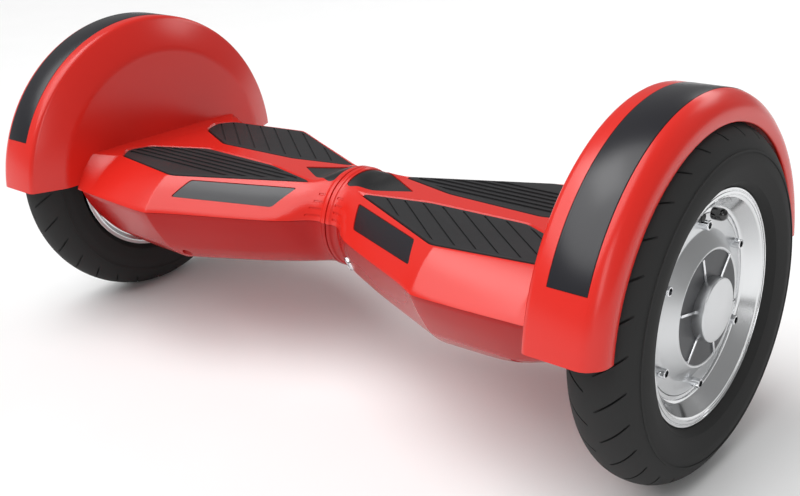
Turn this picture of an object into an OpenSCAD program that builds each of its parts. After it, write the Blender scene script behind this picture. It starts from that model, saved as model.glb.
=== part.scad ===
/* [Overall] */
// Outer radius of the tyre, which is also the height of the axle
tyre_r = 127.5; // [105:0.5:155]
// Width of the tyre
tyre_w = 54.5; // [50:0.5:60]
// Distance from the middle of the board to the centre plane of each wheel
wheel_x = 304.5; // [253:0.5:366]

/* [Body] */
// Half width of the body at its widest point, along the seam of the shells
seam_half_w = 112.5; // [105:0.5:135]
// Half width of the flat deck at its widest point
deck_half_w = 83; // [82:0.5:95]
// Height of the deck above the axle
deck_h = 33.5; // [31:0.5:41]
// Depth of the keel below the axle
keel_d = 48.5; // [44:0.5:60]
// Outer radius of the round neck in the middle of the board
neck_r = 41; // [36:0.5:50]
// Wall of the shells
wall = 3; // [2:0.1:3.6]
// Gap between the two halves of the board
half_gap = 0.8; // [0.6:0.1:2]

/* [Fender] */
// Clear height between the tyre and the crown of the fender
fender_clear = 16; // [12:0.5:20]
// Width of the flat crown of the fender
crown_w = 48; // [44:0.5:54]
// Width of the dark strip let into the crown
strip_w = 28; // [20:0.5:34]
// Height above the axle at which the fender ends
fender_cut = 10.5; // [9:0.5:20]

/* [Foot pads] */
// Thickness of a foot pad
pad_t = 5; // [4:0.1:6]
// Travel of a foot pad
pad_travel = 1.5; // [1:0.1:2]
// Gap round a foot pad
pad_gap = 0.6; // [0.4:0.1:1]

/* [Wheel] */
// Radius of the rim's flanges
rim_r = 83.3; // [80:0.1:86]
// Width of the rim over its flanges
rim_w = 42.5; // [38:0.5:44]
// Radius of the circle of cover bolts
bolt_circle_r = 58.5; // [56:0.1:60]
// Number of bolts in each side cover
bolt_n = 6; // [4:1:8]
// Radius of the hub cap
hub_cap_r = 22.5; // [21:0.5:28]

/* [Axle and pivot] */
// Radius of the axle
axle_r = 8.5; // [7:0.1:10.2]
// Outer radius of the wheel bearings
bearing_r = 17.5; // [16.5:0.1:19]
// Outer radius of the pivot tube that joins the halves
pivot_r = 14; // [11.5:0.1:16.8]
// Running clearance between the pivot tube and its bushes
run_gap = 0.05; // [0.03:0.01:0.09]

/* [Controls] */
// Radius of the power button
button_r = 6; // [5:0.1:7.2]
// Travel of the power button
button_travel = 1; // [0.8:0.1:1.5]
// Inner radius of the charging socket
socket_r = 5.8; // [5:0.1:6.9]

/* [Hidden] */
$fn = 96;
eps = 0.02;
axle_z = tyre_r;
well_x = wheel_x - 48.5;          // deck side of the fender wall
lower_end_x = well_x - 6;         // wheel end of the lower shell
flare_x = well_x - 22;            // where the deck starts to flare into the fender
seam_h = 6.5;                     // height of the shell seam above the axle
crown_r = tyre_r + fender_clear + 3.5;
tip_x = 32;
shoulder_x = 150;
sleeve_x = 42;                    // left end of the sleeve under the neck

// Stations along the body: x, then half width and height over the axle of each corner
// [x, seam, mid y, mid z, deck y, deck z, ridge y, ridge z, side y, side z, keel y, keel z]
function ring_y(a) = neck_r * cos(a);
function ring_z(a) = neck_r * sin(a);
function station(x, seam, deck, ridge_z, side, side_z, keel, keel_z) = [
    x, seam,
    (seam + deck) / 2 + 2, (seam_h + deck_h) / 2 + 2,
    deck, deck_h, 8, ridge_z,
    side, side_z, keel, keel_z
];
function neck(x) = [
    x, ring_y(9), ring_y(35), ring_z(35), ring_y(60), ring_z(60), ring_y(80), ring_z(80),
    ring_y(-28), ring_z(-28), ring_y(-64), ring_z(-64)
];
seam_tip = neck_r + 17.5;
deck_tip = 29;
WAIST = [
    neck(half_gap / 2),
    station(tip_x, seam_tip, deck_tip, deck_h + 3.5, seam_tip - 11.5, -24.5, deck_tip - 1, -keel_d + 9),
    station(75, mix(seam_tip, seam_half_w, 0.37), mix(deck_tip, deck_half_w, 0.37), deck_h + 0.5,
        mix(seam_tip, seam_half_w, 0.37) - 14.5, -28.5, mix(deck_tip, deck_half_w - 12, 0.4), -keel_d + 5),
    station(shoulder_x, seam_half_w - 0.5, deck_half_w, deck_h + 0.5,
        seam_half_w - 22, -32, deck_half_w - 12, -keel_d),
    station(shoulder_x + 14, seam_half_w, deck_half_w - 2, deck_h + 0.5,
        seam_half_w - 22, -32, deck_half_w - 13, -keel_d)
];
TOP_ROWS = concat(WAIST, [
    station(flare_x, seam_half_w - 3.5, deck_half_w - 14, deck_h + 0.8, 0, 0, 0, 0),
    station(well_x, seam_half_w - 5.5, deck_half_w + 5, deck_h + 2, 0, 0, 0, 0)
]);
BOTTOM_ROWS = concat(WAIST, [
    station(flare_x - 4, seam_half_w - 3.5, 0, 0, seam_half_w - 23, -32.5, deck_half_w - 16, -keel_d + 3),
    station(lower_end_x, seam_half_w - 5.2, 0, 0, seam_half_w - 20, -22, deck_half_w - 3, -keel_d + 18)
]);
function mix(a, b, t) = a + (b - a) * t;

// Outline of one station of the upper body, shrunk by t inside its skin
function top_ring(r, t) = [
    [r[1] - t * 1.1, seam_h - (t > 0 ? 1 : 0)], [r[2] - t, r[3] - t * 0.5],
    [r[4] - t * 0.5, r[5] - t], [r[6], r[7] - t]
];
function bottom_ring(r, t) = [
    [r[1] - t * 1.1, seam_h + (t > 0 ? 1 : 0)], [r[8] - t, r[9] + t * 0.4], [r[10] - t * 0.5, r[11] + t]
];
function reversed(list) = [for (i = [len(list) - 1 : -1 : 0]) list[i]];
function closed(half) = concat(half, [for (p = reversed(half)) [-p[0], p[1]]]);

// Foot pad outline: distance from the middle, half width
pad_tip = [30, deck_tip - 2];
PAD = [
    pad_tip, [shoulder_x - 3.5, deck_half_w - 2.2], [flare_x - 1, deck_half_w - 15], [well_x - 13, deck_half_w - 29],
    [well_x - 21, 35], [well_x - 76, 10], [90, 13]
];
deck_z = axle_z + deck_h;
seam_z = axle_z + seam_h;
pad_top = deck_z + 0.8;
pad_z = pad_top - pad_t;
tray_z = pad_z - pad_travel - 0.4;   // floor of the pad's tray
tray_t = 2.5;
PLUNGERS = [[115, 38], [175, 45]];
plunger_r = 4;
plunger_z = tray_z - tray_t - 1.9;   // lower end of the plungers
board_z = 15.5 + axle_z;             // underside of the sensor board
SCREWS = [[shoulder_x - 10, deck_half_w - 5], [flare_x - 12, deck_half_w + 1]];
screw_seat_z = axle_z - 24;

// Chassis
plate_z = axle_z - 3.5;
plate_t = 4;
boss_r = pivot_r + 8;
bush_t = 2.5;
skirt_z = axle_z - 27.5;
clamp_x = well_x - 54;
clamp_len = 42;

// Wheel
outer_x = wheel_x + rim_w / 2 - 2.5; // outer faces of the rim, inside its lips
inner_x = wheel_x - rim_w / 2 + 2.5;
seat_r = rim_r - 6;                  // seat of the tyre's beads
shell_r = 66;                        // bore of the rim that holds the magnets
cover_r = bolt_circle_r + 5.5;
tube_r = (tyre_r - 7 - seat_r - 1) / 2;
tube_c = seat_r + 0.5 + tube_r;
cover_x = wheel_x + 6.5;             // outer face of the bolted flange
disc_x = cover_x + 9;                // outer face of the raised disc in its middle
disc_r = 40.6;
spoke_a = 48;
cover_t = 5;
stack = 11;                          // length of the stator stack
motor_x = (inner_x + 6 + cover_x - cover_t - 3) / 2;
valve_r = 65.8;
valve_a = 85;
valve_x = cover_x - 5;

// Controls on the lower shell, on an axis tilted below the horizon
control_x = 31;
control_y = 46.5;
control_z = axle_z - 19.5;
control_tilt = 20;
bezel_t = 2.2;
red = "#d8140c";
black = "#1b1b1d";
metal = "#b9bcc0";

module half(side) {
    mirror([side < 0 ? 1 : 0, 0, 0]) children();
}
module both_y() {
    children();
    mirror([0, 1, 0]) children();
}
module about_axle() {
    translate([0, 0, axle_z]) rotate([0, 90, 0]) rotate_extrude() children();
}
module band(r1, r2, x1, x2) {
    translate([r1, x1]) square([r2 - r1, x2 - x1]);
}
module rod_x(r, x1, x2) {
    translate([x1, 0, axle_z]) rotate([0, 90, 0]) cylinder(r = r, h = x2 - x1);
}
module at_bolts(r, a0) {
    for (i = [0 : bolt_n - 1])
        translate([0, 0, axle_z]) rotate([-a0 - i * 360 / bolt_n, 0, 0]) translate([0, -r, 0]) rotate([0, 90, 0])
            children();
}

// A closed skin over rings of points at the rows' stations
module loft(rows, rings, x_first, x_last) {
    n = len(rings[0]);
    m = len(rings);
    points = [for (k = [0 : m - 1]) for (p = rings[k])
        [k == 0 ? x_first : (k == m - 1 ? x_last : rows[k][0]), p[0], axle_z + p[1]]];
    walls = [for (k = [0 : m - 2]) for (i = [0 : n - 1]) for (f = [0, 1])
        f == 0 ? [k * n + i, k * n + (i + 1) % n, (k + 1) * n + (i + 1) % n]
               : [k * n + i, (k + 1) * n + (i + 1) % n, (k + 1) * n + i]];
    ends = [[for (i = [n - 1 : -1 : 0]) i], [for (i = [0 : n - 1]) (m - 1) * n + i]];
    polyhedron(points, concat(walls, ends));
}
module top_body(t) {
    loft(TOP_ROWS, [for (r = TOP_ROWS) reversed(closed(top_ring(r, t)))], t > 0 ? -1 : half_gap / 2, well_x + t / 10);
}
module bottom_body(t) {
    loft(BOTTOM_ROWS, [for (r = BOTTOM_ROWS) closed(bottom_ring(r, t))],
        t > 0 ? -1 : half_gap / 2, lower_end_x - t);
}

module pad_shape() {
    polygon(PAD);
}
// Points on the upper body: by height on the slope below the deck, and by half width on top
function row_at(x) = let (
    k = max([for (i = [0 : len(TOP_ROWS) - 2]) if (TOP_ROWS[i][0] <= x) i]),
    t = (x - TOP_ROWS[k][0]) / (TOP_ROWS[k + 1][0] - TOP_ROWS[k][0])
) [for (j = [0 : 7]) mix(TOP_ROWS[k][j], TOP_ROWS[k + 1][j], t)];
function slope_y(r, h) = h > r[3] ? mix(r[2], r[4], (h - r[3]) / (r[5] - r[3]))
    : mix(r[1], r[2], (h - seam_h) / (r[3] - seam_h));
function top_h(r, y) = y > r[4] ? mix(r[5], r[3], (y - r[4]) / (r[2] - r[4]))
    : (y > r[6] ? mix(r[7], r[5], (y - r[6]) / (r[4] - r[6])) : r[7]);
function on_slope(x, h) = [x, slope_y(row_at(x), h), axle_z + h];
function on_top(x, y) = [x, y, axle_z + top_h(row_at(x), abs(y))];

// A slab over the fan of faces between a rim of points and a hub point, from offset a to offset b
module slab(rim, hub, a, b) {
    n = len(rim);
    points = concat([for (p = rim) p + a], [hub + a], [for (p = rim) p + b], [hub + b]);
    polyhedron(points, [for (i = [0 : n - 1]) for (f = [0 : 3]) let (j = (i + 1) % n)
        f == 0 ? [n, i, j] : (f == 1 ? [2 * n + 1, n + 1 + j, n + 1 + i]
            : (f == 2 ? [i, n + 1 + i, n + 1 + j] : [i, n + 1 + j, j]))]);
}
module light_panel(out) {
    rim = [on_slope(134, 19.5), on_slope(47, 16.5), on_slope(36, 29.5), on_slope(126, 31)];
    slab(rim, (rim[0] + rim[1] + rim[2] + rim[3]) / 4 + [0, 1, 0.8], [0, -1.8, -0.9], [0, out, out / 2]);
}
module cap_panel(out) {
    front = [on_top(1.5, 19), on_top(9, 22), on_top(22, 17), on_top(61, 0)];
    rim = concat([for (i = [0 : 3]) [front[i][0], -front[i][1], front[i][2]]], [front[2], front[1], front[0]]);
    slab(rim, on_top(12, 0), [0, 0, -1.8], [0, 0, out]);
}
module fender_profile() {
    lip_r = tyre_r - 1.5;
    x1 = wheel_x - 35.5;
    x2 = x1 + crown_w;
    polygon([
        [0, well_x], [crown_r - 30, well_x], [crown_r, x1], [crown_r, x2], [lip_r, x2 + 5],
        [lip_r, x2 + 1.5], [crown_r - 3.5, x2 - 3.3], [crown_r - 3.5, x1 + 1.5],
        [crown_r - 31.5, well_x + wall], [0, well_x + wall]
    ]);
}
module fender_shape() {
    difference() {
        about_axle() fender_profile();
        translate([well_x - 5, -200, -60]) cube([120, 400, axle_z + fender_cut + 60]);
    }
    translate([well_x, -seam_half_w + 6, seam_z]) cube([wall, 2 * seam_half_w - 12, fender_cut - seam_h + 1]);
}
module crown_band(grow) {
    intersection() {
        about_axle() band(crown_r - 1, crown_r + (grow > 0 ? 2 : 0.3),
            wheel_x - 9.5 - strip_w / 2 - grow, wheel_x - 9.5 + strip_w / 2 + grow);
        translate([well_x, -200, axle_z + 54.5 - grow]) cube([120, 400, 200]);
    }
}

module upper_shell(side) {
    color(red) half(side) difference() {
        union() {
            difference() {
                top_body(0);
                top_body(wall);
            }
            intersection() {
                top_body(0);
                union() {
                    both_y() translate([0, 0, tray_z - tray_t])
                        linear_extrude(tray_t + 10) offset(delta = pad_gap + 2.4) pad_shape();
                    for (s = SCREWS)
                        both_y() translate([s[0], s[1], seam_z]) cylinder(r = 5, h = tray_z - seam_z);
                }
            }
        }
        both_y() translate([0, 0, tray_z]) linear_extrude(40) offset(delta = pad_gap) pad_shape();
        for (p = PLUNGERS)
            both_y() translate([p[0], p[1], tray_z - 8]) cylinder(r = plunger_r + 0.6, h = 12);
        for (s = SCREWS)
            both_y() translate([s[0], s[1], seam_z - 1]) cylinder(r = 2 + eps, h = 13);
        both_y() light_panel(8);
        cap_panel(8);
    }
}
module fender(side) {
    color(red) half(side) difference() {
        fender_shape();
        crown_band(0.1);
        rod_x(axle_r + 4, well_x - 10, well_x + 10);
    }
}
module lower_body(side) {
    color(red) half(side) difference() {
        union() {
            difference() {
                bottom_body(0);
                bottom_body(wall);
            }
            intersection() {
                bottom_body(0);
                union() {
                    for (s = SCREWS)
                        both_y() translate([s[0], s[1], axle_z - keel_d]) cylinder(r = 6.5, h = keel_d + seam_h);
                    for (x = [100, clamp_x - 12])
                        both_y() translate([x, 40, axle_z - keel_d]) cube([3, 14, skirt_z - axle_z + keel_d]);
                }
            }
        }
        for (s = SCREWS)
            both_y() translate([s[0], s[1], axle_z - keel_d - 10]) {
                cylinder(r = 2.3, h = 100);
                cylinder(r = 4.4, h = screw_seat_z - axle_z + keel_d + 10);
            }
        rod_x(axle_r + 4, lower_end_x - 15, lower_end_x + 10);
    }
}
module lower_shell_left() {
    difference() {
        lower_body(-1);
        translate([-sleeve_x, -100, 0]) cube([100, 200, 200]);
    }
}
module neck_sleeve() {
    intersection() {
        lower_body(-1);
        translate([-sleeve_x + 0.4, -100, 0]) cube([100, 200, 200]);
    }
}
module lower_shell_right() {
    difference() {
        lower_body(1);
        color(red) at_control(-1) translate([0, 0, -20]) cylinder(r = button_r + 2.5 + eps, h = 40);
        color(red) at_control(1) translate([0, 0, -20]) cylinder(r = socket_r + 2.7 + eps, h = 40);
    }
}
module at_control(face) {
    translate([control_x, face * control_y, control_z]) mirror([0, face > 0 ? 1 : 0, 0])
        rotate([90 + control_tilt, 0, 0]) children();
}

module chassis(side, bore) {
    color(metal) half(side) difference() {
        union() {
            rod_x(boss_r, 12, side < 0 ? 82 : 66);
            translate([0, 0, plate_z]) linear_extrude(plate_t)
                polygon([[58, -20], [84, -48], [clamp_x + 4, -48], [clamp_x + 4, 48], [84, 48], [58, 20]]);
            both_y() translate([84, 44, skirt_z]) cube([clamp_x - 84 + 4, 4, plate_z - skirt_z + 1]);
            for (x = [98, clamp_x - 12])
                both_y() translate([x, 25, plate_z + 1]) cylinder(r = 3, h = board_z - plate_z - 1);
            translate([clamp_x, -24, skirt_z]) cube([clamp_len, 48, axle_z - skirt_z]);
        }
        rod_x(bore, 0, 100);
        if (side > 0) rod_x(pivot_r + 4.6, 66, 76);
        rod_x(axle_r + eps, clamp_x - 1, clamp_x + clamp_len + 1);
        if (side < 0) translate([84.5, -38.5, skirt_z - 1]) cube([clamp_x - 90, 77, plate_z - skirt_z + 1]);
        for (x = [clamp_x + 8, clamp_x + clamp_len - 8])
            both_y() translate([x, 17, skirt_z + 6]) cylinder(r = 2.5 + eps, h = 40);
    }
}
module axle_clamp(side) {
    color(metal) half(side) difference() {
        translate([clamp_x, -24, axle_z + 0.5]) cube([clamp_len, 48, 13]);
        rod_x(axle_r + eps, clamp_x - 1, clamp_x + clamp_len + 1);
        for (x = [clamp_x + 8, clamp_x + clamp_len - 8])
            both_y() translate([x, 17, axle_z]) cylinder(r = 2.8, h = 40);
    }
}
module clamp_bolts(side) {
    color("#5a5d61") half(side)
        for (x = [clamp_x + 8, clamp_x + clamp_len - 8])
            both_y() translate([x, 17, 0]) {
                translate([0, 0, skirt_z + 8]) cylinder(r = 2.5, h = axle_z - skirt_z + 5.6);
                translate([0, 0, axle_z + 13.5]) cylinder(r = 4.2, h = 4);
            }
}
module sensor_board(side) {
    color("#1f6b3a") half(side) {
        translate([92, -58, board_z]) cube([clamp_x - 100, 116, 1.6]);
        for (p = PLUNGERS)
            both_y() translate([p[0] - 4, p[1] - 4, board_z + 1.5])
                cube([8, 8, plunger_z - pad_travel - 0.4 - board_z - 1.5]);
    }
}
module light_strip(side, face) {
    color(black) half(side) mirror([0, face < 0 ? 1 : 0, 0]) light_panel(-0.2);
}
module fender_strip(side) {
    color(black) half(side) crown_band(0);
}
module centre_cap(side) {
    color(black) half(side) cap_panel(0);
}
module shell_screws(side) {
    color("#5a5d61") half(side)
        for (s = SCREWS)
            both_y() translate([s[0], s[1], screw_seat_z]) {
                translate([0, 0, -3]) cylinder(r = 4, h = 3);
                cylinder(r = 2, h = seam_z - screw_seat_z + 11);
            }
}

// all the screws of one half: the four clamp bolts and the four shell screws, each its own solid
module screws(side) {
    clamp_bolts(side);
    shell_screws(side);
}
module foot_pad(side, face) {
    color(black) half(side) mirror([0, face < 0 ? 1 : 0, 0]) {
        translate([0, 0, pad_z]) linear_extrude(pad_t) pad_shape();
        for (p = PLUNGERS)
            translate([p[0], p[1], plunger_z]) cylinder(r = plunger_r, h = pad_z - plunger_z + 1);
    }
}

module axle(side) {
    color("#8a8d91") half(side) rod_x(axle_r, clamp_x, disc_x - 4.6);
}
module stator(side) {
    color("#a0572a") half(side) about_axle() {
        band(40, shell_r - 3.7, motor_x - stack / 2, motor_x + stack / 2);
        band(axle_r + eps, 41, inner_x + 13.2, disc_x - 16.7);
    }
}
module tyre(side) {
    c = tyre_r - tyre_w / 2;
    bead = rim_w - 7.6;
    color(black) half(side) about_axle() difference() {
        union() {
            intersection() {
                union() {
                    translate([c, wheel_x]) circle(r = tyre_w / 2);
                    polygon([[rim_r - 6, wheel_x - rim_w / 2], [c, wheel_x - tyre_w / 2],
                        [c, wheel_x + tyre_w / 2], [rim_r - 6, wheel_x + rim_w / 2]]);
                }
                band(rim_r + 0.6, tyre_r + 10, wheel_x - 40, wheel_x + 40);
            }
            band(seat_r + eps, rim_r + 4, wheel_x - bead / 2, wheel_x + bead / 2);
        }
        translate([tube_c, wheel_x]) circle(r = tube_r + 0.3);
        band(seat_r - 1, tube_c, wheel_x - bead / 2 + 7, wheel_x + bead / 2 - 7);
    }
}
module inner_tube(side) {
    color("#2c2c2e") half(side) {
        about_axle() difference() {
            translate([tube_c, wheel_x]) circle(r = tube_r);
            translate([tube_c, wheel_x]) circle(r = tube_r - 2);
        }
        at_valve() {
            translate([-valve_r, 0, 0]) rotate([0, -90, 0]) cylinder(r = 2.6, h = seat_r + 2.5 - valve_r);
            translate([-valve_r, 0, -2.6]) cylinder(r = 2.6, h = 12.4);
        }
    }
}
// Local frame of the valve: x is minus the radius, z runs outward along the axle
module at_valve() {
    translate([valve_x, 0, axle_z]) rotate([90 - valve_a, 0, 0]) rotate([0, 90, 0]) children();
}
module valve_bore() {
    at_valve() {
        translate([-valve_r, 0, 0]) rotate([0, -90, 0]) cylinder(r = 3, h = 30);
        translate([-valve_r, 0, -3]) cylinder(r = 3, h = 30);
        translate([-valve_r, 0, 9.4]) cylinder(r = 5, h = 30);
    }
}
module valve_cap(side) {
    color(black) half(side) at_valve() translate([-valve_r, 0, 10]) difference() {
        cylinder(r = 4.4, h = 10.5);
        translate([0, 0, -1]) cylinder(r = 2.6, h = 1.1);
    }
}
module rim(side) {
    color("#d9dbde") half(side) difference() {
        about_axle() {
            polygon([
                [shell_r, inner_x], [shell_r + 6, inner_x], [shell_r + 9, inner_x - 2.5], [rim_r, inner_x - 2.5],
                [rim_r, inner_x + 0.5], [seat_r, inner_x + 1], [seat_r, outer_x - 1], [rim_r, outer_x - 0.5],
                [rim_r, outer_x + 2.5], [shell_r + 11, outer_x + 2.5], [shell_r + 10.3, outer_x + 0.3],
                [shell_r + 2.5, cover_x + 0.5], [cover_r + 0.3, cover_x + 0.5],
                [cover_r + 0.3, cover_x - cover_t], [cover_r - 12, cover_x - cover_t],
                [cover_r - 12, cover_x - cover_t - 3], [shell_r, cover_x - cover_t - 3]
            ]);
            band(cover_r - 12, shell_r + 1, inner_x + 3, inner_x + 6);
        }
        at_bolts(bolt_circle_r, 30) translate([0, 0, inner_x - 5]) cylinder(r = 2 + eps, h = 50);
        valve_bore();
    }
}
module outer_cover(side) {
    lip_r = cover_r - 12;
    color("#c9ccd0") half(side) difference() {
        union() {
            about_axle() {
                polygon([
                    [0, disc_x - 4], [0, disc_x], [disc_r, disc_x],
                    [lip_r, cover_x], [cover_r, cover_x], [cover_r, cover_x - cover_t],
                    [lip_r - 1, cover_x - cover_t], [disc_r - 1, disc_x - 4]
                ]);
                band(0, bearing_r + 3, disc_x - 16, disc_x - 3);
            }
            for (a = [0 : 60 : 300])
                translate([disc_x - 1, 0, axle_z]) rotate([a + spoke_a, 0, 0]) translate([0, hub_cap_r + 0.3, -1.2])
                    cube([2.3, disc_r - hub_cap_r - 0.8, 2.4]);
        }
        rod_x(bearing_r + eps, disc_x - 22, disc_x - 4);
        at_bolts(bolt_circle_r, 30) translate([0, 0, cover_x - 20]) cylinder(r = 2.3, h = 30);
        valve_bore();
    }
}
module inner_cover(side) {
    color("#9a9da1") half(side) difference() {
        about_axle() {
            band(axle_r + 1, cover_r, inner_x, inner_x + 3);
            band(bearing_r, bearing_r + 4.5, inner_x + 2, inner_x + 12.5);
        }
        at_bolts(bolt_circle_r, 30) translate([0, 0, inner_x - 20]) cylinder(r = 2.3, h = 30);
    }
}
module magnet_ring(side) {
    color("#77797c") half(side) about_axle()
        band(shell_r - 3, shell_r, motor_x - stack / 2, motor_x + stack / 2);
}
module cover_bolts(side) {
    color("#6d7074") half(side) {
        at_bolts(bolt_circle_r, 30) difference() {
            union() {
                translate([0, 0, cover_x]) cylinder(r = 3.6, h = 6.5);
                translate([0, 0, cover_x - cover_t - 3]) cylinder(r = 2, h = cover_t + 4);
            }
            translate([0, 0, cover_x + 3]) cylinder(r = 2.2, h = 5, $fn = 6);
        }
        at_bolts(bolt_circle_r, 30) {
            translate([0, 0, inner_x - 3]) cylinder(r = 3.6, h = 3);
            translate([0, 0, inner_x - 1]) cylinder(r = 2, h = 7);
        }
    }
}
module hub_cap(side) {
    color("#aeb1b5") half(side) about_axle()
        polygon([[0, disc_x], [hub_cap_r, disc_x], [hub_cap_r, disc_x + 6], [hub_cap_r - 1, disc_x + 7], [0, disc_x + 7]]);
}
module wheel_bearings(side) {
    color("#cfd2d6") half(side) about_axle() {
        band(axle_r + eps, bearing_r, disc_x - 15, disc_x - 5);
        band(axle_r + eps, bearing_r - eps, inner_x + 3, inner_x + 12);
    }
}

module pivot_tube() {
    color("#8a8d91") difference() {
        rod_x(pivot_r, -80, 72);
        rod_x(pivot_r - 3, -81, 73);
    }
}
module pivot_bushes() {
    color("#b0925a") difference() {
        union() {
            rod_x(pivot_r + bush_t, 12.4, 26);
            rod_x(pivot_r + bush_t, 52, 65.6);
        }
        rod_x(pivot_r + run_gap, 10, 70);
    }
}
module pivot_ring() {
    color("#5a5d61") difference() {
        rod_x(pivot_r + 4, 66.6, 68.6);
        rod_x(pivot_r + eps, 60, 75);
    }
}
module battery_pack() {
    color("#2b55a0") translate([-clamp_x + 5, -38, skirt_z - 11.5]) cube([clamp_x - 91, 76, plate_z - skirt_z + 11.5]);
}
module control_board() {
    color("#1f6b3a") {
        translate([90, -40, plate_z - 14]) cube([clamp_x - 98, 80, 2]);
        translate([94, -34, plate_z - 13]) cube([clamp_x - 110, 68, 13]);
        for (x = [104, 122, 140])
            translate([x, -26, plate_z - 33]) cylinder(r = 8, h = 20);
        translate([clamp_x - 36, 8, plate_z - 26]) cube([18, 26, 13]);
    }
}
module button_bezel() {
    color("#c4c7cb") at_control(-1) difference() {
        union() {
            translate([0, 0, -12]) cylinder(r = button_r + 2.5, h = 18);
            translate([0, 0, 6]) cylinder(r = button_r + 3.4, h = bezel_t);
        }
        translate([0, 0, -8]) cylinder(r = button_r + 0.4, h = 30);
    }
}
module power_button() {
    color("#d2d5d9") at_control(-1) translate([0, 0, -8 + button_travel + 0.5])
        cylinder(r = button_r, h = 15.7 - button_travel);
}
// Place of the charging cover's hinge pin, from the axis of the socket
hinge_y = socket_r + 6.9;
hinge_z = 6 + bezel_t + 2.4;
module hinge_rod(r, x1, x2) {
    translate([x1, hinge_y, hinge_z]) rotate([0, 90, 0]) cylinder(r = r, h = x2 - x1);
}
module charge_port() {
    r = socket_r + 2.7;
    color(black) at_control(1) difference() {
        union() {
            translate([0, 0, -14]) cylinder(r = r, h = 20);
            translate([0, 0, 6]) cylinder(r = r + 2, h = bezel_t);
            for (x = [-5.5, 3.5])
                translate([x, r - 0.5, 6]) cube([2, hinge_y - r + 2.5, bezel_t + 3.9]);
            hinge_rod(0.9, -5, 5);
        }
        translate([0, 0, -10]) cylinder(r = socket_r, h = 40);
    }
}
module charge_cover() {
    r = socket_r + 2.5;
    z = 6 + bezel_t + 0.4;
    color(black) at_control(1) difference() {
        union() {
            translate([0, 0, z]) cylinder(r = r, h = 1.8);
            translate([-2.8, r - 2, z]) cube([5.6, hinge_y - r + 2, 1.8]);
            hinge_rod(1.9, -2.8, 2.8);
        }
        hinge_rod(0.9 + run_gap, -6, 6);
    }
}
upper_shell(-1);  // upper_shell_left
upper_shell(1);  // upper_shell_right
fender(-1);  // fender_left
fender(1);  // fender_right
chassis(-1, pivot_r + eps);  // chassis_left
chassis(1, pivot_r + bush_t + eps);  // chassis_right
axle_clamp(-1);  // axle_clamp_left
axle_clamp(1);  // axle_clamp_right
screws(-1);  // screws_left
screws(1);  // screws_right
sensor_board(-1);  // sensor_board_left
sensor_board(1);  // sensor_board_right
light_strip(-1, -1);  // light_front_left
light_strip(1, -1);  // light_front_right
light_strip(-1, 1);  // light_back_left
light_strip(1, 1);  // light_back_right
fender_strip(-1);  // fender_strip_left
fender_strip(1);  // fender_strip_right
centre_cap(-1);  // centre_cap_left
centre_cap(1);  // centre_cap_right
axle(-1);  // axle_left
axle(1);  // axle_right
stator(-1);  // stator_left
stator(1);  // stator_right
tyre(-1);  // tyre_left
tyre(1);  // tyre_right
inner_tube(-1);  // inner_tube_left
inner_tube(1);  // inner_tube_right
valve_cap(-1);  // valve_cap_left
valve_cap(1);  // valve_cap_right
rim(-1);  // rim_left
rim(1);  // rim_right
outer_cover(-1);  // outer_cover_left
outer_cover(1);  // outer_cover_right
inner_cover(-1);  // inner_cover_left
inner_cover(1);  // inner_cover_right
magnet_ring(-1);  // magnet_ring_left
magnet_ring(1);  // magnet_ring_right
cover_bolts(-1);  // cover_bolts_left
cover_bolts(1);  // cover_bolts_right
hub_cap(-1);  // hub_cap_left
hub_cap(1);  // hub_cap_right
wheel_bearings(-1);  // wheel_bearings_left
wheel_bearings(1);  // wheel_bearings_right
foot_pad(-1, -1);  // pad_front_left
foot_pad(1, -1);  // pad_front_right
foot_pad(-1, 1);  // pad_back_left
foot_pad(1, 1);  // pad_back_right
lower_shell_left();
lower_shell_right();
neck_sleeve();
pivot_tube();
pivot_bushes();
pivot_ring();
battery_pack();
control_board();
button_bezel();
power_button();
charge_port();
charge_cover();
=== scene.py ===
"""Looks of a self-balancing hoverboard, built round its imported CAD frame.

Each sub-assembly is a class: its sizes are fields and its methods make the meshes and dress them. Lengths are in
metres. X runs along the axles towards the right wheel, Y to the back of the board and Z up from the ground.
"""
import logging
import math
from collections.abc import Callable, Iterable, Sequence
from dataclasses import dataclass, field
from enum import Enum

import bmesh
import bpy
from bmesh.types import BMesh
from mathutils import Matrix, Vector
from mathutils.bvhtree import BVHTree


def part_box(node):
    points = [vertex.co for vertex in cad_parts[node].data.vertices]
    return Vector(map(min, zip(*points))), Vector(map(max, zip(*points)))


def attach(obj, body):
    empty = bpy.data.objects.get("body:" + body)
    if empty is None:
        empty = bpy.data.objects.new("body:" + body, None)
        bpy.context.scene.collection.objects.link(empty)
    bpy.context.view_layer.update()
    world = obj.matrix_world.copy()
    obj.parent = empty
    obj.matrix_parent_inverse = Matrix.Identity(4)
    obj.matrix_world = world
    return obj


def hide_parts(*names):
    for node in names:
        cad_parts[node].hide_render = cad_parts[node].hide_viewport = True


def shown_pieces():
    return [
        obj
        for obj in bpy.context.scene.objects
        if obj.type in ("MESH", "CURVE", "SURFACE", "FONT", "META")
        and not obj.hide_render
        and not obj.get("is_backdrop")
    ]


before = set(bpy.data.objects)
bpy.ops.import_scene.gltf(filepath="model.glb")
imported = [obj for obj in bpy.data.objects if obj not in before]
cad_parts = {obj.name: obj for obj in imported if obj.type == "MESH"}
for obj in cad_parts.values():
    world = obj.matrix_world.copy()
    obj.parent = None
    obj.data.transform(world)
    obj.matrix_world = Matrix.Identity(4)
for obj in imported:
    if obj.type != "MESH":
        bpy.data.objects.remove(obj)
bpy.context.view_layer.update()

LOG = logging.getLogger("hoverboard")
TAU = 2 * math.pi
EDGE_ANGLE = math.radians(32)


class Side(Enum):
    """The two halves of the board, with the sign of their X."""

    LEFT = -1
    RIGHT = 1

    @property
    def word(self) -> str:
        """The side's name in node and body names."""
        return self.name.lower()


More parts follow.
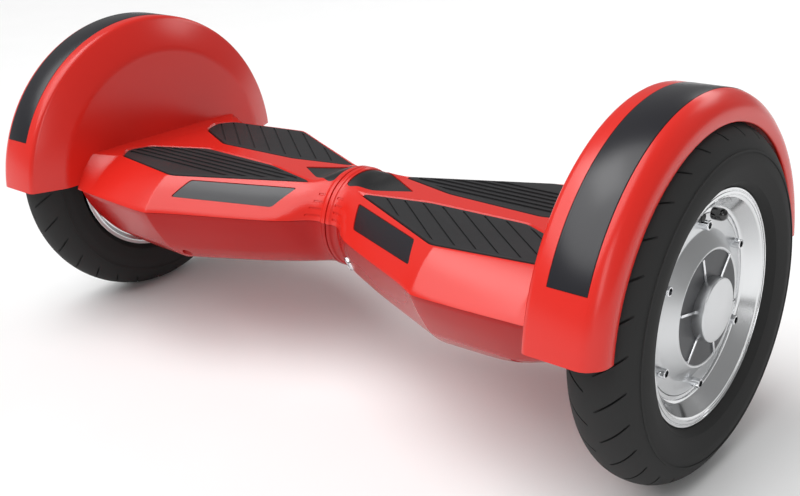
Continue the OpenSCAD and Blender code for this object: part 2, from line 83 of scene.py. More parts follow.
class Cut(Enum):
    """How a boolean joins two solids."""

    MINUS = "DIFFERENCE"
    PLUS = "UNION"
    WITHIN = "INTERSECT"


class Grain(Enum):
    """Surface grain of a metal."""

    TURNED = "turned"
    CAST = "cast"
    PLAIN = "plain"


# ---------------------------------------------------------------- sizes shared by the sub-assemblies


@dataclass(frozen=True)
class Layout:
    """Driving places of the board, read from the frame."""

    axle_z: float
    tyre_r: float
    wheel_x: float
    wheel_half_w: float
    well_x: float
    crown_r: float
    fender_cut: float
    seam: float
    deck: float
    half_gap: float

    @staticmethod
    def from_frame() -> "Layout":
        """Measure the frame's own boxes.

        Returns:
            The layout, in metres.
        """
        low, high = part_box("tyre_right")
        shell_low, shell_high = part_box("upper_shell_right")
        end_low, end_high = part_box("lower_shell_right")
        axle_z = (low.z + high.z) / 2
        pad_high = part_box("pad_front_right")[1]
        return Layout(
            axle_z=axle_z,
            tyre_r=(high.z - low.z) / 2,
            wheel_x=(low.x + high.x) / 2,
            wheel_half_w=(high.x - low.x) / 2,
            well_x=end_high.x + 0.006,
            crown_r=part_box("fender_right")[1].z - axle_z,
            fender_cut=axle_z + 0.0105,
            seam=shell_low.z,
            deck=pad_high.z - 0.0008,
            half_gap=shell_low.x,
        )


LAYOUT = Layout.from_frame()


@dataclass(frozen=True)
class Course:
    """A value that changes along a line, straight between its named stops."""

    stops: tuple[tuple[float, float], ...]

    def at(self, place: float) -> float:
        """Value at a place.

        Args:
            place: Where along the line.

        Returns:
            The value, held level beyond the first and last stops.
        """
        if place <= self.stops[0][0]:
            return self.stops[0][1]
        for (a, value_a), (b, value_b) in zip(self.stops, self.stops[1:]):
            if place <= b:
                return value_a + (value_b - value_a) * (place - a) / (b - a)
        return self.stops[-1][1]


def smooth_step(value: float) -> float:
    """Ease a value from 0 to 1 with level ends."""
    value = min(1.0, max(0.0, value))
    return value * value * (3 - 2 * value)


# ---------------------------------------------------------------- modelling


def temporary(shape: BMesh) -> bpy.types.Object:
    """Make a scratch object of a shape, which is freed.

    Args:
        shape: The shape to hold.

    Returns:
        The linked object.
    """
    mesh = bpy.data.meshes.new("scratch")
    shape.to_mesh(mesh)
    shape.free()
    scratch = bpy.data.objects.new("scratch", mesh)
    bpy.context.scene.collection.objects.link(scratch)
    return scratch


def collect(scratch: bpy.types.Object) -> BMesh:
    """Turn a scratch object with its modifiers into a shape, and remove the object.

    Args:
        scratch: The object.

    Returns:
        The evaluated shape.
    """
    bpy.context.view_layer.update()
    graph = bpy.context.evaluated_depsgraph_get()
    shape = bmesh.new()
    shape.from_object(scratch, graph)
    mesh = scratch.data
    bpy.data.objects.remove(scratch)
    bpy.data.meshes.remove(mesh)
    return shape


def combine(base: BMesh, tools: Iterable[BMesh], cut: Cut) -> BMesh:
    """Join solids with booleans.

    Args:
        base: The solid to work on; it is used up.
        tools: Closed solids, applied one after the other; they are used up.
        cut: How they join.

    Returns:
        The joined solid.
    """
    for tool in tools:
        target = temporary(base)
        other = temporary(tool)
        modifier = target.modifiers.new("cut", "BOOLEAN")
        modifier.operation = cut.value
        modifier.solver = "MANIFOLD"
        modifier.object = other
        base = collect(target)
        mesh = other.data
        bpy.data.objects.remove(other)
        bpy.data.meshes.remove(mesh)
    return base


def subdivided(shape: BMesh, levels: int) -> BMesh:
    """Smooth a cage with Catmull-Clark subdivision.

    Args:
        shape: The cage, with creases on its sharp edges; it is used up.
        levels: Levels of subdivision.

    Returns:
        The smooth solid.
    """
    scratch = temporary(shape)
    modifier = scratch.modifiers.new("smooth", "SUBSURF")
    modifier.levels = modifier.render_levels = levels
    return collect(scratch)


def skin(stations: Sequence[float], ring: Callable[[float], Sequence[Vector]],
         creased: Callable[[float, float, int, int], float]) -> BMesh:
    """Stretch a closed skin over rings of points.

    Args:
        stations: Where along X the rings stand.
        ring: Gives the closed ring of points at a station, always with the same number.
        creased: Gives an edge's crease from the places along X of its ends and their places in the ring.

    Returns:
        The closed solid.
    """
    count = len(ring(stations[0]))
    shape = bmesh.new()
    made = bmesh.ops.create_grid(shape, x_segments=len(stations) - 1, y_segments=count, size=1)["verts"]
    crease = shape.edges.layers.float.new("crease_edge")
    place = {}
    for vert in made:
        row = round((vert.co.x + 1) / 2 * (len(stations) - 1))
        place[vert] = (row, round((vert.co.y + 1) / 2 * count) % count)
    for edge in shape.edges:
        (row_a, a), (row_b, b) = (place[v] for v in edge.verts)
        edge[crease] = creased(stations[row_a], stations[row_b], a, b)
    for vert, (row, index) in place.items():
        vert.co = ring(stations[row])[index]
    bmesh.ops.remove_doubles(shape, verts=shape.verts, dist=1e-7)
    bmesh.ops.holes_fill(shape, edges=[e for e in shape.edges if e.is_boundary], sides=0)
    bmesh.ops.recalc_face_normals(shape, faces=shape.faces)
    return shape


def block(low: Sequence[float], high: Sequence[float]) -> BMesh:
    """Make a box between two corners."""
    shape = bmesh.new()
    bmesh.ops.create_cube(shape, size=1)
    size = Vector(high) - Vector(low)
    bmesh.ops.scale(shape, vec=size, verts=shape.verts)
    bmesh.ops.translate(shape, vec=Vector(low) + size / 2, verts=shape.verts)
    return shape


def extruded(outline: Sequence[Vector], travel: Vector) -> BMesh:
    """Extrude a flat outline.

    Args:
        outline: Corners of the outline.
        travel: How far and which way it is extruded.

    Returns:
        The closed prism.
    """
    shape = bmesh.new()
    face = shape.faces.new([shape.verts.new(p) for p in outline])
    made = bmesh.ops.extrude_face_region(shape, geom=[face])["geom"]
    bmesh.ops.translate(shape, vec=travel, verts=[g for g in made if isinstance(g, bmesh.types.BMVert)])
    bmesh.ops.recalc_face_normals(shape, faces=shape.faces)
    return shape


def bevel_edges(shape: BMesh, edges: Sequence[bmesh.types.BMEdge], width: float, segments: int = 3) -> None:
    """Round edges of a shape.

    Args:
        shape: The shape.
        edges: The edges to round.
        width: Width of the rounding.
        segments: Faces across it.
    """
    bmesh.ops.bevel(shape, geom=list(edges), offset=width, offset_type="OFFSET", segments=segments, profile=0.5,
                    affect="EDGES", material=-1, clamp_overlap=True)


def sharp_edges(shape: BMesh, angle: float = EDGE_ANGLE) -> list[bmesh.types.BMEdge]:
    """Edges at which the faces meet at more than an angle."""
    return [e for e in shape.edges if len(e.link_faces) == 2 and e.calc_face_angle(0) > angle]


def grown(outline: Sequence[tuple[float, float]], by: float) -> list[tuple[float, float]]:
    """Move every side of a counter-clockwise outline outward.

    Args:
        outline: Corners.
        by: Distance, negative to shrink.

    Returns:
        The new corners.
    """
    count = len(outline)
    corners = []
    for i in range(count):
        before, here, after = (Vector(outline[(i + k) % count]) for k in (-1, 0, 1))
        first, second = (here - before).normalized(), (after - here).normalized()
        normal_a, normal_b = Vector((first.y, -first.x)), Vector((second.y, -second.x))
        corners.append(tuple(here + (normal_a + normal_b) * (by / (1 + normal_a.dot(normal_b)))))
    return corners


def rounded(outline: Sequence[tuple[float, float]], radius: float,
            steps: int = 4) -> list[tuple[float, float]]:
    """Round the corners of an outline.

    Args:
        outline: Corners.
        radius: Length taken from each side of a corner.
        steps: Pieces in each round.

    Returns:
        The outline with curved corners.
    """
    count = len(outline)
    result = []
    for i in range(count):
        before, here, after = (Vector(outline[(i + k) % count]) for k in (-1, 0, 1))
        start = here + (before - here).normalized() * radius
        end = here + (after - here).normalized() * radius
        for k in range(steps + 1):
            t = k / steps
            result.append(tuple(start * (1 - t) ** 2 + here * 2 * t * (1 - t) + end * t * t))
    return result


def flat(outline: Sequence[tuple[float, float]], height: float) -> list[Vector]:
    """Lay a plan outline at a height."""
    return [Vector((x, y, height)) for x, y in outline]


def lathe(outline: Sequence[tuple[float, float, float]], steps: int = 144,
          height: float | None = None) -> BMesh:
    """Turn a closed outline about the axle.

    Args:
        outline: Corners as (x, radius, rounding); a radius of 0 lies on the axis.
        steps: Steps round the turn.
        height: Height of the axis; the axle's when left out.

    Returns:
        The closed solid, with its corners rounded.
    """
    shape = bmesh.new()
    verts = [shape.verts.new((x, 0, radius)) for x, radius, _ in outline]
    edges = [shape.edges.new((verts[i], verts[(i + 1) % len(verts)])) for i in range(len(verts))
             if not (outline[i][1] == 0 and outline[(i + 1) % len(verts)][1] == 0)]
    bmesh.ops.spin(shape, geom=verts + edges, cent=(0, 0, 0), axis=(1, 0, 0), dvec=(0, 0, 0), angle=TAU,
                   steps=steps, use_merge=True, use_duplicate=False)
    bmesh.ops.remove_doubles(shape, verts=shape.verts, dist=1e-7)
    bmesh.ops.recalc_face_normals(shape, faces=shape.faces)
    widths = sorted({r for _, _, r in outline if r > 0}, reverse=True)
    for width in widths:
        corners = [(x, radius) for x, radius, r in outline if r == width]
        chosen = [e for e in shape.edges if any(on_circle(e, x, radius) for x, radius in corners)]
        bevel_edges(shape, chosen, width)
    lift = LAYOUT.axle_z if height is None else height
    bmesh.ops.translate(shape, vec=(0, 0, lift), verts=shape.verts)
    return shape


def on_circle(edge: bmesh.types.BMEdge, x: float, radius: float) -> bool:
    """Whether both ends of an edge lie on the circle at x with that radius, about the X axis."""
    return all(abs(v.co.x - x) < 1e-6 and abs(math.hypot(v.co.y, v.co.z) - radius) < 1e-6 for v in edge.verts)


def turned(shape: BMesh, angle: float, axis: str = "X", centre: Vector | None = None) -> BMesh:
    """Turn a shape about an axis through a centre, which is the axle by default.

    Args:
        shape: The shape, changed in place.
        angle: Angle in radians.
        axis: Axis name.
        centre: A point on the axis.

    Returns:
        The same shape.
    """
    middle = Vector((0, 0, LAYOUT.axle_z)) if centre is None else centre
    bmesh.ops.rotate(shape, cent=middle, matrix=Matrix.Rotation(angle, 3, axis), verts=shape.verts)
    return shape


def merged(shapes: Iterable[BMesh]) -> BMesh:
    """Gather loose shapes into one, and free them."""
    whole = bmesh.new()
    for shape in shapes:
        mesh = bpy.data.meshes.new("scratch")
        shape.to_mesh(mesh)
        shape.free()
        whole.from_mesh(mesh)
        bpy.data.meshes.remove(mesh)
    return whole


def copied(shape: BMesh) -> BMesh:
    """A copy of a shape."""
    return shape.copy()


def opposite(shape: BMesh) -> BMesh:
    """A mirrored copy of a shape, for the other half of the board."""
    other = shape.copy()
    bmesh.ops.scale(other, vec=(-1, 1, 1), verts=other.verts)
    bmesh.ops.reverse_faces(other, faces=other.faces)
    return other


# ---------------------------------------------------------------- finishes


class Nodes:
    """A material's node tree, with short calls for the nodes the finishes share."""

    def __init__(self, name: str) -> None:
        """Start an empty material.

        Args:
            name: The material's name.
        """
        self.material = bpy.data.materials.new(name)
        self.material.use_nodes = True
        self.tree = self.material.node_tree
        self.shader = self.tree.nodes["Principled BSDF"]
        self.place = self.tree.nodes.new("ShaderNodeTexCoord").outputs["Object"]

    def noise(self, scale: float, detail: float = 4.0,
              stretch: Sequence[float] = (1, 1, 1)) -> bpy.types.NodeSocket:
        """Noise over the object.

        Args:
            scale: Waves per metre.
            detail: Octaves.
            stretch: Factors on the three axes.

        Returns:
            The noise's value.
        """
        mapping = self.tree.nodes.new("ShaderNodeMapping")
        mapping.inputs["Scale"].default_value = stretch
        self.tree.links.new(self.place, mapping.inputs["Vector"])
        noise = self.tree.nodes.new("ShaderNodeTexNoise")
        noise.inputs["Scale"].default_value = scale
        noise.inputs["Detail"].default_value = detail
        self.tree.links.new(mapping.outputs["Vector"], noise.inputs["Vector"])
        return noise.outputs["Fac"]

    def rings(self, scale: float) -> bpy.types.NodeSocket:
        """Fine noise that is the same all the way round the axle, as a lathe leaves it.

        Args:
            scale: Waves per metre of radius.

        Returns:
            The noise's value.
        """
        parts = self.tree.nodes.new("ShaderNodeSeparateXYZ")
        self.tree.links.new(self.place, parts.inputs["Vector"])
        lowered = self.math("SUBTRACT", parts.outputs["Z"], LAYOUT.axle_z)
        square_y = self.math("MULTIPLY", parts.outputs["Y"], parts.outputs["Y"])
        square_z = self.math("MULTIPLY", lowered, lowered)
        radius = self.math("SQRT", self.math("ADD", square_y, square_z))
        joined = self.tree.nodes.new("ShaderNodeCombineXYZ")
        self.tree.links.new(radius, joined.inputs["X"])
        self.tree.links.new(parts.outputs["X"], joined.inputs["Y"])
        noise = self.tree.nodes.new("ShaderNodeTexNoise")
        noise.inputs["Scale"].default_value = scale
        noise.inputs["Detail"].default_value = 3
        self.tree.links.new(joined.outputs["Vector"], noise.inputs["Vector"])
        return noise.outputs["Fac"]

    def math(self, operation: str, first: bpy.types.NodeSocket | float,
             second: bpy.types.NodeSocket | float = 0.0) -> bpy.types.NodeSocket:
        """Arithmetic on sockets or numbers.

        Args:
            operation: The node's operation.
            first: First term.
            second: Second term.

        Returns:
            The result.
        """
        node = self.tree.nodes.new("ShaderNodeMath")
        node.operation = operation
        for socket, term in zip(node.inputs, (first, second)):
            if isinstance(term, (int, float)):
                socket.default_value = term
            else:
                self.tree.links.new(term, socket)
        return node.outputs["Value"]

    def spread(self, value: bpy.types.NodeSocket, low: float, high: float) -> bpy.types.NodeSocket:
        """Spread a noise over a range.

        Args:
            value: Noise of about 0.3 to 0.7.
            low: Result at its low end.
            high: Result at its high end.

        Returns:
            The result.
        """
        node = self.tree.nodes.new("ShaderNodeMapRange")
        node.inputs["From Min"].default_value = 0.3
        node.inputs["From Max"].default_value = 0.7
        node.inputs["To Min"].default_value = low
        node.inputs["To Max"].default_value = high
        self.tree.links.new(value, node.inputs["Value"])
        return node.outputs["Result"]

    def bump(self, height: bpy.types.NodeSocket, strength: float, distance: float) -> None:
        """Raise the surface by a height, over any bump it already has.

        Args:
            height: The height.
            strength: Share of it, 0 to 1.
            distance: Depth of the relief.
        """
        node = self.tree.nodes.new("ShaderNodeBump")
        node.inputs["Strength"].default_value = strength
        node.inputs["Distance"].default_value = distance
        self.tree.links.new(height, node.inputs["Height"])
        for link in list(self.shader.inputs["Normal"].links):
            self.tree.links.new(link.from_socket, node.inputs["Normal"])
        self.tree.links.new(node.outputs["Normal"], self.shader.inputs["Normal"])

    def shades(self, value: bpy.types.NodeSocket, dark: Sequence[float], light: Sequence[float]) -> None:
        """Colour the surface between two shades.

        Args:
            value: Noise of about 0.3 to 0.7.
            dark: Shade at its low end.
            light: Shade at its high end.
        """
        ramp = self.tree.nodes.new("ShaderNodeValToRGB")
        ramp.color_ramp.elements[0].position = 0.3
        ramp.color_ramp.elements[1].position = 0.7
        ramp.color_ramp.elements[0].color = (*dark, 1)
        ramp.color_ramp.elements[1].color = (*light, 1)
        self.tree.links.new(value, ramp.inputs["Fac"])
        self.tree.links.new(ramp.outputs["Color"], self.shader.inputs["Base Color"])


@dataclass(frozen=True)
class Finish:
    """A surface finish: its colour, gloss, grain and wear."""

    name: str
    colour: tuple[float, float, float]
    roughness: float
    uneven: float = 0.06
    grain: float = 0.12
    grain_scale: float = 900.0
    relief: float = 0.00008
    coat: float = 0.0
    metallic: float = 0.0
    wear: float = 0.12
    specular: float = 0.5
    kind: Grain = Grain.PLAIN

    def material(self) -> bpy.types.Material:
        """The finish's material, made once.

        Returns:
            The material.
        """
        made = bpy.data.materials.get(self.name)
        if made is not None:
            return made
        nodes = Nodes(self.name)
        shader = nodes.shader
        shader.inputs["Metallic"].default_value = self.metallic
        shader.inputs["Specular IOR Level"].default_value = self.specular
        shader.inputs["Coat Weight"].default_value = self.coat
        shader.inputs["Coat Roughness"].default_value = 0.04
        broad = nodes.noise(9.0, 3.0)
        dark = tuple(c * (1 - self.wear) for c in self.colour)
        nodes.shades(broad, dark, self.colour)
        fine = nodes.rings(self.grain_scale) if self.kind is Grain.TURNED else nodes.noise(self.grain_scale)
        smudges = nodes.noise(22.0, 5.0)
        rough = nodes.spread(smudges, max(0.02, self.roughness - self.uneven), self.roughness + self.uneven)
        nodes.tree.links.new(rough, shader.inputs["Roughness"])
        nodes.bump(fine, self.grain, self.relief)
        LOG.info("finish %s made", self.name)
        return nodes.material


RED = (0.47, 0.0035, 0.002)
BLACK = (0.010, 0.010, 0.011)
ALUMINIUM = (0.78, 0.79, 0.80)


class Finishes:
    """The finishes of the board."""

    SHELL = Finish("red_shell", RED, 0.10, 0.02, 0.02, 260, 0.00004, coat=0.22, wear=0.05, specular=0.24)
    # Painted shade: the lower shells get a darker copy of the shell red, in place of the shade on their
    # downward-facing sides. This copy is also rougher and has less coat.
    SHELL_LOW = Finish("red_shell_low", (0.42, 0.004, 0.003), 0.20, 0.03, 0.02, 300, 0.00004, coat=0.1, wear=0.05,
                       specular=0.22)
    PANEL = Finish("black_panel", BLACK, 0.16, 0.04, 0.04, 400, 0.00006, coat=0.4, wear=0.2)
    CAP = Finish("black_cap", (0.012, 0.012, 0.013), 0.30, 0.06, 0.12, 1200, 0.00008, wear=0.2)
    PAD = Finish("pad_rubber", (0.016, 0.016, 0.018), 0.62, 0.10, 0.45, 2200, 0.00012, wear=0.3)
    TYRE = Finish("tyre_rubber", (0.028, 0.028, 0.029), 0.46, 0.08, 0.30, 1500, 0.00012, wear=0.25)
    RUBBER = Finish("plain_rubber", (0.022, 0.022, 0.022), 0.6, 0.08, 0.3, 1200, 0.0001, wear=0.25)
    RIM = Finish("rim_aluminium", ALUMINIUM, 0.16, 0.05, 0.10, 2600, 0.00004, metallic=1.0, kind=Grain.TURNED)
    SATIN = Finish("satin_aluminium", (0.70, 0.71, 0.72), 0.36, 0.06, 0.22, 3000, 0.00006, metallic=1.0,
                   kind=Grain.TURNED)
    DARK_DISC = Finish("dark_disc", (0.085, 0.087, 0.092), 0.42, 0.06, 0.2, 2600, 0.00006, metallic=0.6,
                       kind=Grain.TURNED)
    CAST = Finish("cast_aluminium", (0.56, 0.57, 0.58), 0.5, 0.08, 0.5, 700, 0.0003, metallic=1.0, wear=0.2)
    STEEL = Finish("zinc_steel", (0.50, 0.51, 0.52), 0.26, 0.08, 0.16, 1600, 0.00006, metallic=1.0, wear=0.2)
    CHROME = Finish("chrome", (0.82, 0.83, 0.85), 0.10, 0.04, 0.05, 2000, 0.00004, metallic=1.0)
    PLASTIC = Finish("black_plastic", (0.012, 0.012, 0.012), 0.34, 0.06, 0.2, 900, 0.0001, wear=0.2)
    GLOSS_CAP = Finish("gloss_plastic", (0.008, 0.008, 0.008), 0.12, 0.03, 0.04, 600, 0.00005, coat=0.6)
    LAMINATION = Finish("lamination", (0.32, 0.15, 0.06), 0.45, 0.1, 0.5, 2200, 0.0003, metallic=0.8, wear=0.3)
    MAGNET = Finish("nickel", (0.62, 0.62, 0.60), 0.25, 0.06, 0.08, 1500, 0.00005, metallic=1.0)
    BRONZE = Finish("bronze", (0.55, 0.36, 0.16), 0.4, 0.08, 0.3, 1800, 0.0001, metallic=1.0, wear=0.25)
    SLEEVE = Finish("battery_sleeve", (0.02, 0.09, 0.36), 0.3, 0.06, 0.2, 260, 0.0004, wear=0.2)
    BOARD = Finish("solder_mask", (0.01, 0.14, 0.05), 0.3, 0.08, 0.3, 700, 0.0001, coat=0.3, wear=0.2)


CARRIED = {
    Finishes.CAST: ("chassis", "axle_clamp"),
    Finishes.STEEL: ("screws", "wheel_bearings", "axle", "pivot_tube", "pivot_ring"),
    Finishes.PLASTIC: ("charge_port", "charge_cover"),
    Finishes.SATIN: ("inner_cover",),
    Finishes.BOARD: ("sensor_board", "control_board"),
    Finishes.LAMINATION: ("stator",),
    Finishes.MAGNET: ("magnet_ring",),
    Finishes.BRONZE: ("pivot_bushes",),
    Finishes.SLEEVE: ("battery_pack",),
    Finishes.RUBBER: ("inner_tube",),
}


def dress_carried() -> None:
    """Give the CAD nodes that stay in view their finishes."""
    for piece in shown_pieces():
        stem = piece.name.removesuffix("_left").removesuffix("_right")
        for finish, stems in CARRIED.items():
            if stem in stems:
                piece.data.materials.clear()
                piece.data.materials.append(finish.material())
                LOG.info("%s keeps its CAD mesh, in %s", piece.name, finish.name)


@dataclass
class Piece:
    """A visible piece: what it stands for, what it moves with and how it is finished."""

    name: str
    body: str
    stands_for: tuple[str, ...]
    slot: str
    finish: Finish
    smooth: float = math.radians(32)

    def place(self, shape: BMesh, extra: Sequence[Finish] = ()) -> bpy.types.Object:
        """Put a shape in the scene as this piece.

        Args:
            shape: The piece's shape; it is used up.
            extra: Finishes of the faces with material index 1 and up.

        Returns:
            The object.
        """
        for face in shape.faces:
            face.smooth = True
        for edge in shape.edges:
            edge.smooth = len(edge.link_faces) != 2 or edge.calc_face_angle(0) < self.smooth
        mesh = bpy.data.meshes.new(self.name)
        shape.to_mesh(mesh)
        count = sum(len(f.verts) - 2 for f in shape.faces)
        shape.free()
        piece = bpy.data.objects.new(self.name, mesh)
        bpy.context.scene.collection.objects.link(piece)
        for finish in (self.finish, *extra):
            mesh.materials.append(finish.material())
        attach(piece, self.body)
        if self.stands_for:
            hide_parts(*self.stands_for)
        LOG.info("%s placed on %s, %d triangles", self.name, self.body, count)
        return piece


# ---------------------------------------------------------------- shells


@dataclass(frozen=True)
class Hull:
    """Outer form of one half of the body, for the half on +X.

    Each course gives a half width or a height over the axle along X. Corners run from the deck's edge over the
    seam and the bilge to the keel.
    """

    neck_r: float = 0.0425
    neck_end: float = 0.0085
    lip: float = 0.0013
    lip_end: float = 0.0050
    seam: Course = Course(((0.0085, 0.0485), (0.017, 0.0515), (0.032, 0.0585), (0.060, 0.0715), (0.087, 0.0830),
                           (0.131, 0.1010), (0.150, 0.1115), (0.160, 0.1125), (0.195, 0.1110), (0.234, 0.1085),
                           (0.258, 0.1065)))
    deck: Course = Course(((0.0085, 0.0270), (0.032, 0.0290), (0.150, 0.0830), (0.166, 0.0805), (0.236, 0.0690),
                           (0.258, 0.0860)))
    deck_h: Course = Course(((0.0085, 0.0350), (0.026, 0.0335), (0.240, 0.0335), (0.258, 0.0360)))
    bilge: Course = Course(((0.0085, 0.0425), (0.032, 0.0470), (0.075, 0.0640), (0.150, 0.0905), (0.172, 0.0905),
                            (0.230, 0.0895), (0.250, 0.0925)))
    bilge_h: Course = Course(((0.0085, -0.0240), (0.075, -0.0285), (0.150, -0.0320), (0.228, -0.0325),
                              (0.250, -0.0210)))
    keel: Course = Course(((0.0085, 0.0240), (0.032, 0.0280), (0.075, 0.0455), (0.150, 0.0710), (0.214, 0.0690),
                           (0.250, 0.0790)))
    keel_h: Course = Course(((0.0085, -0.0390), (0.032, -0.0400), (0.075, -0.0435), (0.150, -0.0485),
                             (0.208, -0.0480), (0.250, -0.0300)))
    bulge: float = 0.0022
    crown: float = 0.0006
    shoulder: float = 0.150
    flare: float = 0.236
    levels: int = 3

    def half_ring(self, x: float, inset: float) -> list[Vector]:
        """Points of one half of a ring, from the middle of the deck to the middle of the keel.

        Args:
            x: The ring's place.
            inset: How far inside the surface it lies.

        Returns:
            The points, with X left at the ring's place.
        """
        rise = LAYOUT.seam - LAYOUT.axle_z
        deck, deck_h = self.deck.at(x), self.deck_h.at(x)
        seam, bilge, bilge_h = self.seam.at(x), self.bilge.at(x), self.bilge_h.at(x)
        keel, keel_h = self.keel.at(x), self.keel_h.at(x)
        middle = ((seam + deck) / 2 + self.bulge, (rise + deck_h) / 2 + self.bulge)
        square = [(0, deck_h + self.crown), (deck * 0.55, deck_h + self.crown), (deck * 0.9, deck_h + self.crown / 2),
                  (deck, deck_h), (deck * 0.75 + middle[0] * 0.25, deck_h * 0.8 + middle[1] * 0.2), middle,
                  (seam, rise), (seam * 0.55 + bilge * 0.45 + 0.001, rise * 0.5 + bilge_h * 0.5), (bilge, bilge_h),
                  ((bilge + keel) / 2 + 0.001, (bilge_h + keel_h) / 2 - 0.001), (keel, keel_h),
                  (keel * 0.6, keel_h - self.crown), (0, keel_h - self.crown)]
        angles = (90, 78, 68, 58, 48, 31, 9, -12, -30, -46, -62, -77, -90)
        blend = smooth_step((x - self.neck_end) / 0.024) if x > self.neck_end else 0.0
        reach = self.neck_r + (self.lip if x < self.lip_end else 0)
        points = []
        for (y, z), angle in zip(square, angles):
            round_y, round_z = (reach * f(math.radians(angle)) for f in (math.cos, math.sin))
            points.append(Vector((x, y * blend + round_y * (1 - blend), z * blend + round_z * (1 - blend))))
        return self.inside(points, inset)

    @staticmethod
    def inside(points: list[Vector], inset: float) -> list[Vector]:
        """Move a half ring towards the inside.

        Args:
            points: The half ring.
            inset: The distance.

        Returns:
            The moved half ring.
        """
        moved = []
        for i, here in enumerate(points):
            before = points[i - 1] if i else Vector((here.x, -points[1].y, points[1].z))
            after = points[i + 1] if i + 1 < len(points) else Vector((here.x, -points[-2].y, points[-2].z))
            along = (after - before).normalized()
            moved.append(here - Vector((0, -along.z, along.y)) * inset)
        return moved

    def ring(self, x: float, inset: float) -> list[Vector]:
        """A whole ring of the hull at its place over the ground.

        Args:
            x: The ring's place.
            inset: How far inside the surface it lies.

        Returns:
            The ring's points.
        """
        half = self.half_ring(x, inset)
        other = [Vector((p.x, -p.y, p.z)) for p in reversed(half[1:-1])]
        return [p + Vector((0, 0, LAYOUT.axle_z)) for p in half + other]

    def solid(self, inset: float = 0.0, start: float | None = None, end: float = 0.2575) -> BMesh:
        """The hull as a closed solid.

        Args:
            inset: How far inside the surface it lies.
            start: Where it starts; the gap between the halves when left out.
            end: Where it ends.

        Returns:
            The solid.
        """
        first = LAYOUT.half_gap if start is None else start
        inner = (0.0030, 0.0046, 0.0054, 0.0085, 0.013, 0.019, 0.026, 0.034, 0.045, 0.060, 0.075, 0.090, 0.105,
                 0.120, 0.135, 0.145,
                 self.shoulder, 0.155, 0.165, 0.180, 0.196, 0.212, 0.224, self.flare, 0.239, 0.246, 0.252)
        between = [x for x in inner if x < end - 0.0015]
        stations = [first, first + 0.0002, *between, end - 0.0002, end]
        return subdivided(skin(stations, lambda x: self.ring(x, inset), self.crease), self.levels)

    def crease(self, x_a: float, x_b: float, a: int, b: int) -> float:
        """Crease of one edge of the cage.

        Args:
            x_a: Place along X of its first end.
            x_b: Place along X of its second end.
            a: Place in the ring of its first end.
            b: Place in the ring of its second end.

        Returns:
            The crease, 0 to 1.
        """
        corner, other = (24 - i if i > 12 else i for i in (a, b))
        if corner == other and x_a != x_b:
            fade = smooth_step((min(x_a, x_b) - 0.010) / 0.030)
            return {3: 0.50, 6: 0.50, 8: 0.46, 10: 0.44}.get(corner, 0.0) * fade
        if x_a == x_b and min(corner, other) >= 3 and corner != other:
            if x_a == self.shoulder:
                return 0.42
            if x_a == self.flare and max(corner, other) <= 6:
                return 0.34
        return 0.0


@dataclass(frozen=True)
class Pads:
    """Plan of the foot pads and the trays they lie in."""

    outline: tuple[tuple[float, float], ...] = (
        (0.030, 0.027), (0.090, 0.013), (0.180, 0.010), (0.235, 0.035), (0.243, 0.054), (0.233, 0.068),
        (0.1465, 0.0808))
    corner: float = 0.005
    gap: float = 0.0006
    floor: float = 0.1549
    tray: float = 0.0025
    thick: float = 0.005
    plungers: tuple[tuple[float, float], ...] = ((0.115, 0.038), (0.175, 0.045))
    plunger_r: float = 0.004
    plunger_end: float = 0.1505

    def plan(self, grow: float, front: int) -> list[tuple[float, float]]:
        """Rounded outline of a pad.

        Args:
            grow: How far outside the pad's own edge.
            front: Sign of Y.

        Returns:
            Corners of the outline.
        """
        corners = rounded(grown(self.outline, grow), self.corner)
        return [(x, y * front) for x, y in corners][::front]

    def stacked(self, levels: Sequence[tuple[float, float]], front: int) -> BMesh:
        """A solid through outlines at several heights.

        Args:
            levels: Pairs of height and growth, from below.
            front: Sign of Y.

        Returns:
            The solid.
        """
        shape = bmesh.new()
        rings = []
        for height, grow in levels:
            verts = [shape.verts.new(p) for p in flat(self.plan(grow, front), height)]
            rings.append([shape.edges.new((verts[i - 1], verts[i])) for i in range(len(verts))])
        for low, high in zip(rings, rings[1:]):
            bmesh.ops.bridge_loops(shape, edges=low + high)
        bmesh.ops.holes_fill(shape, edges=[e for e in shape.edges if len(e.link_faces) < 2], sides=0)
        bmesh.ops.recalc_face_normals(shape, faces=shape.faces)
        return shape


PADS = Pads()


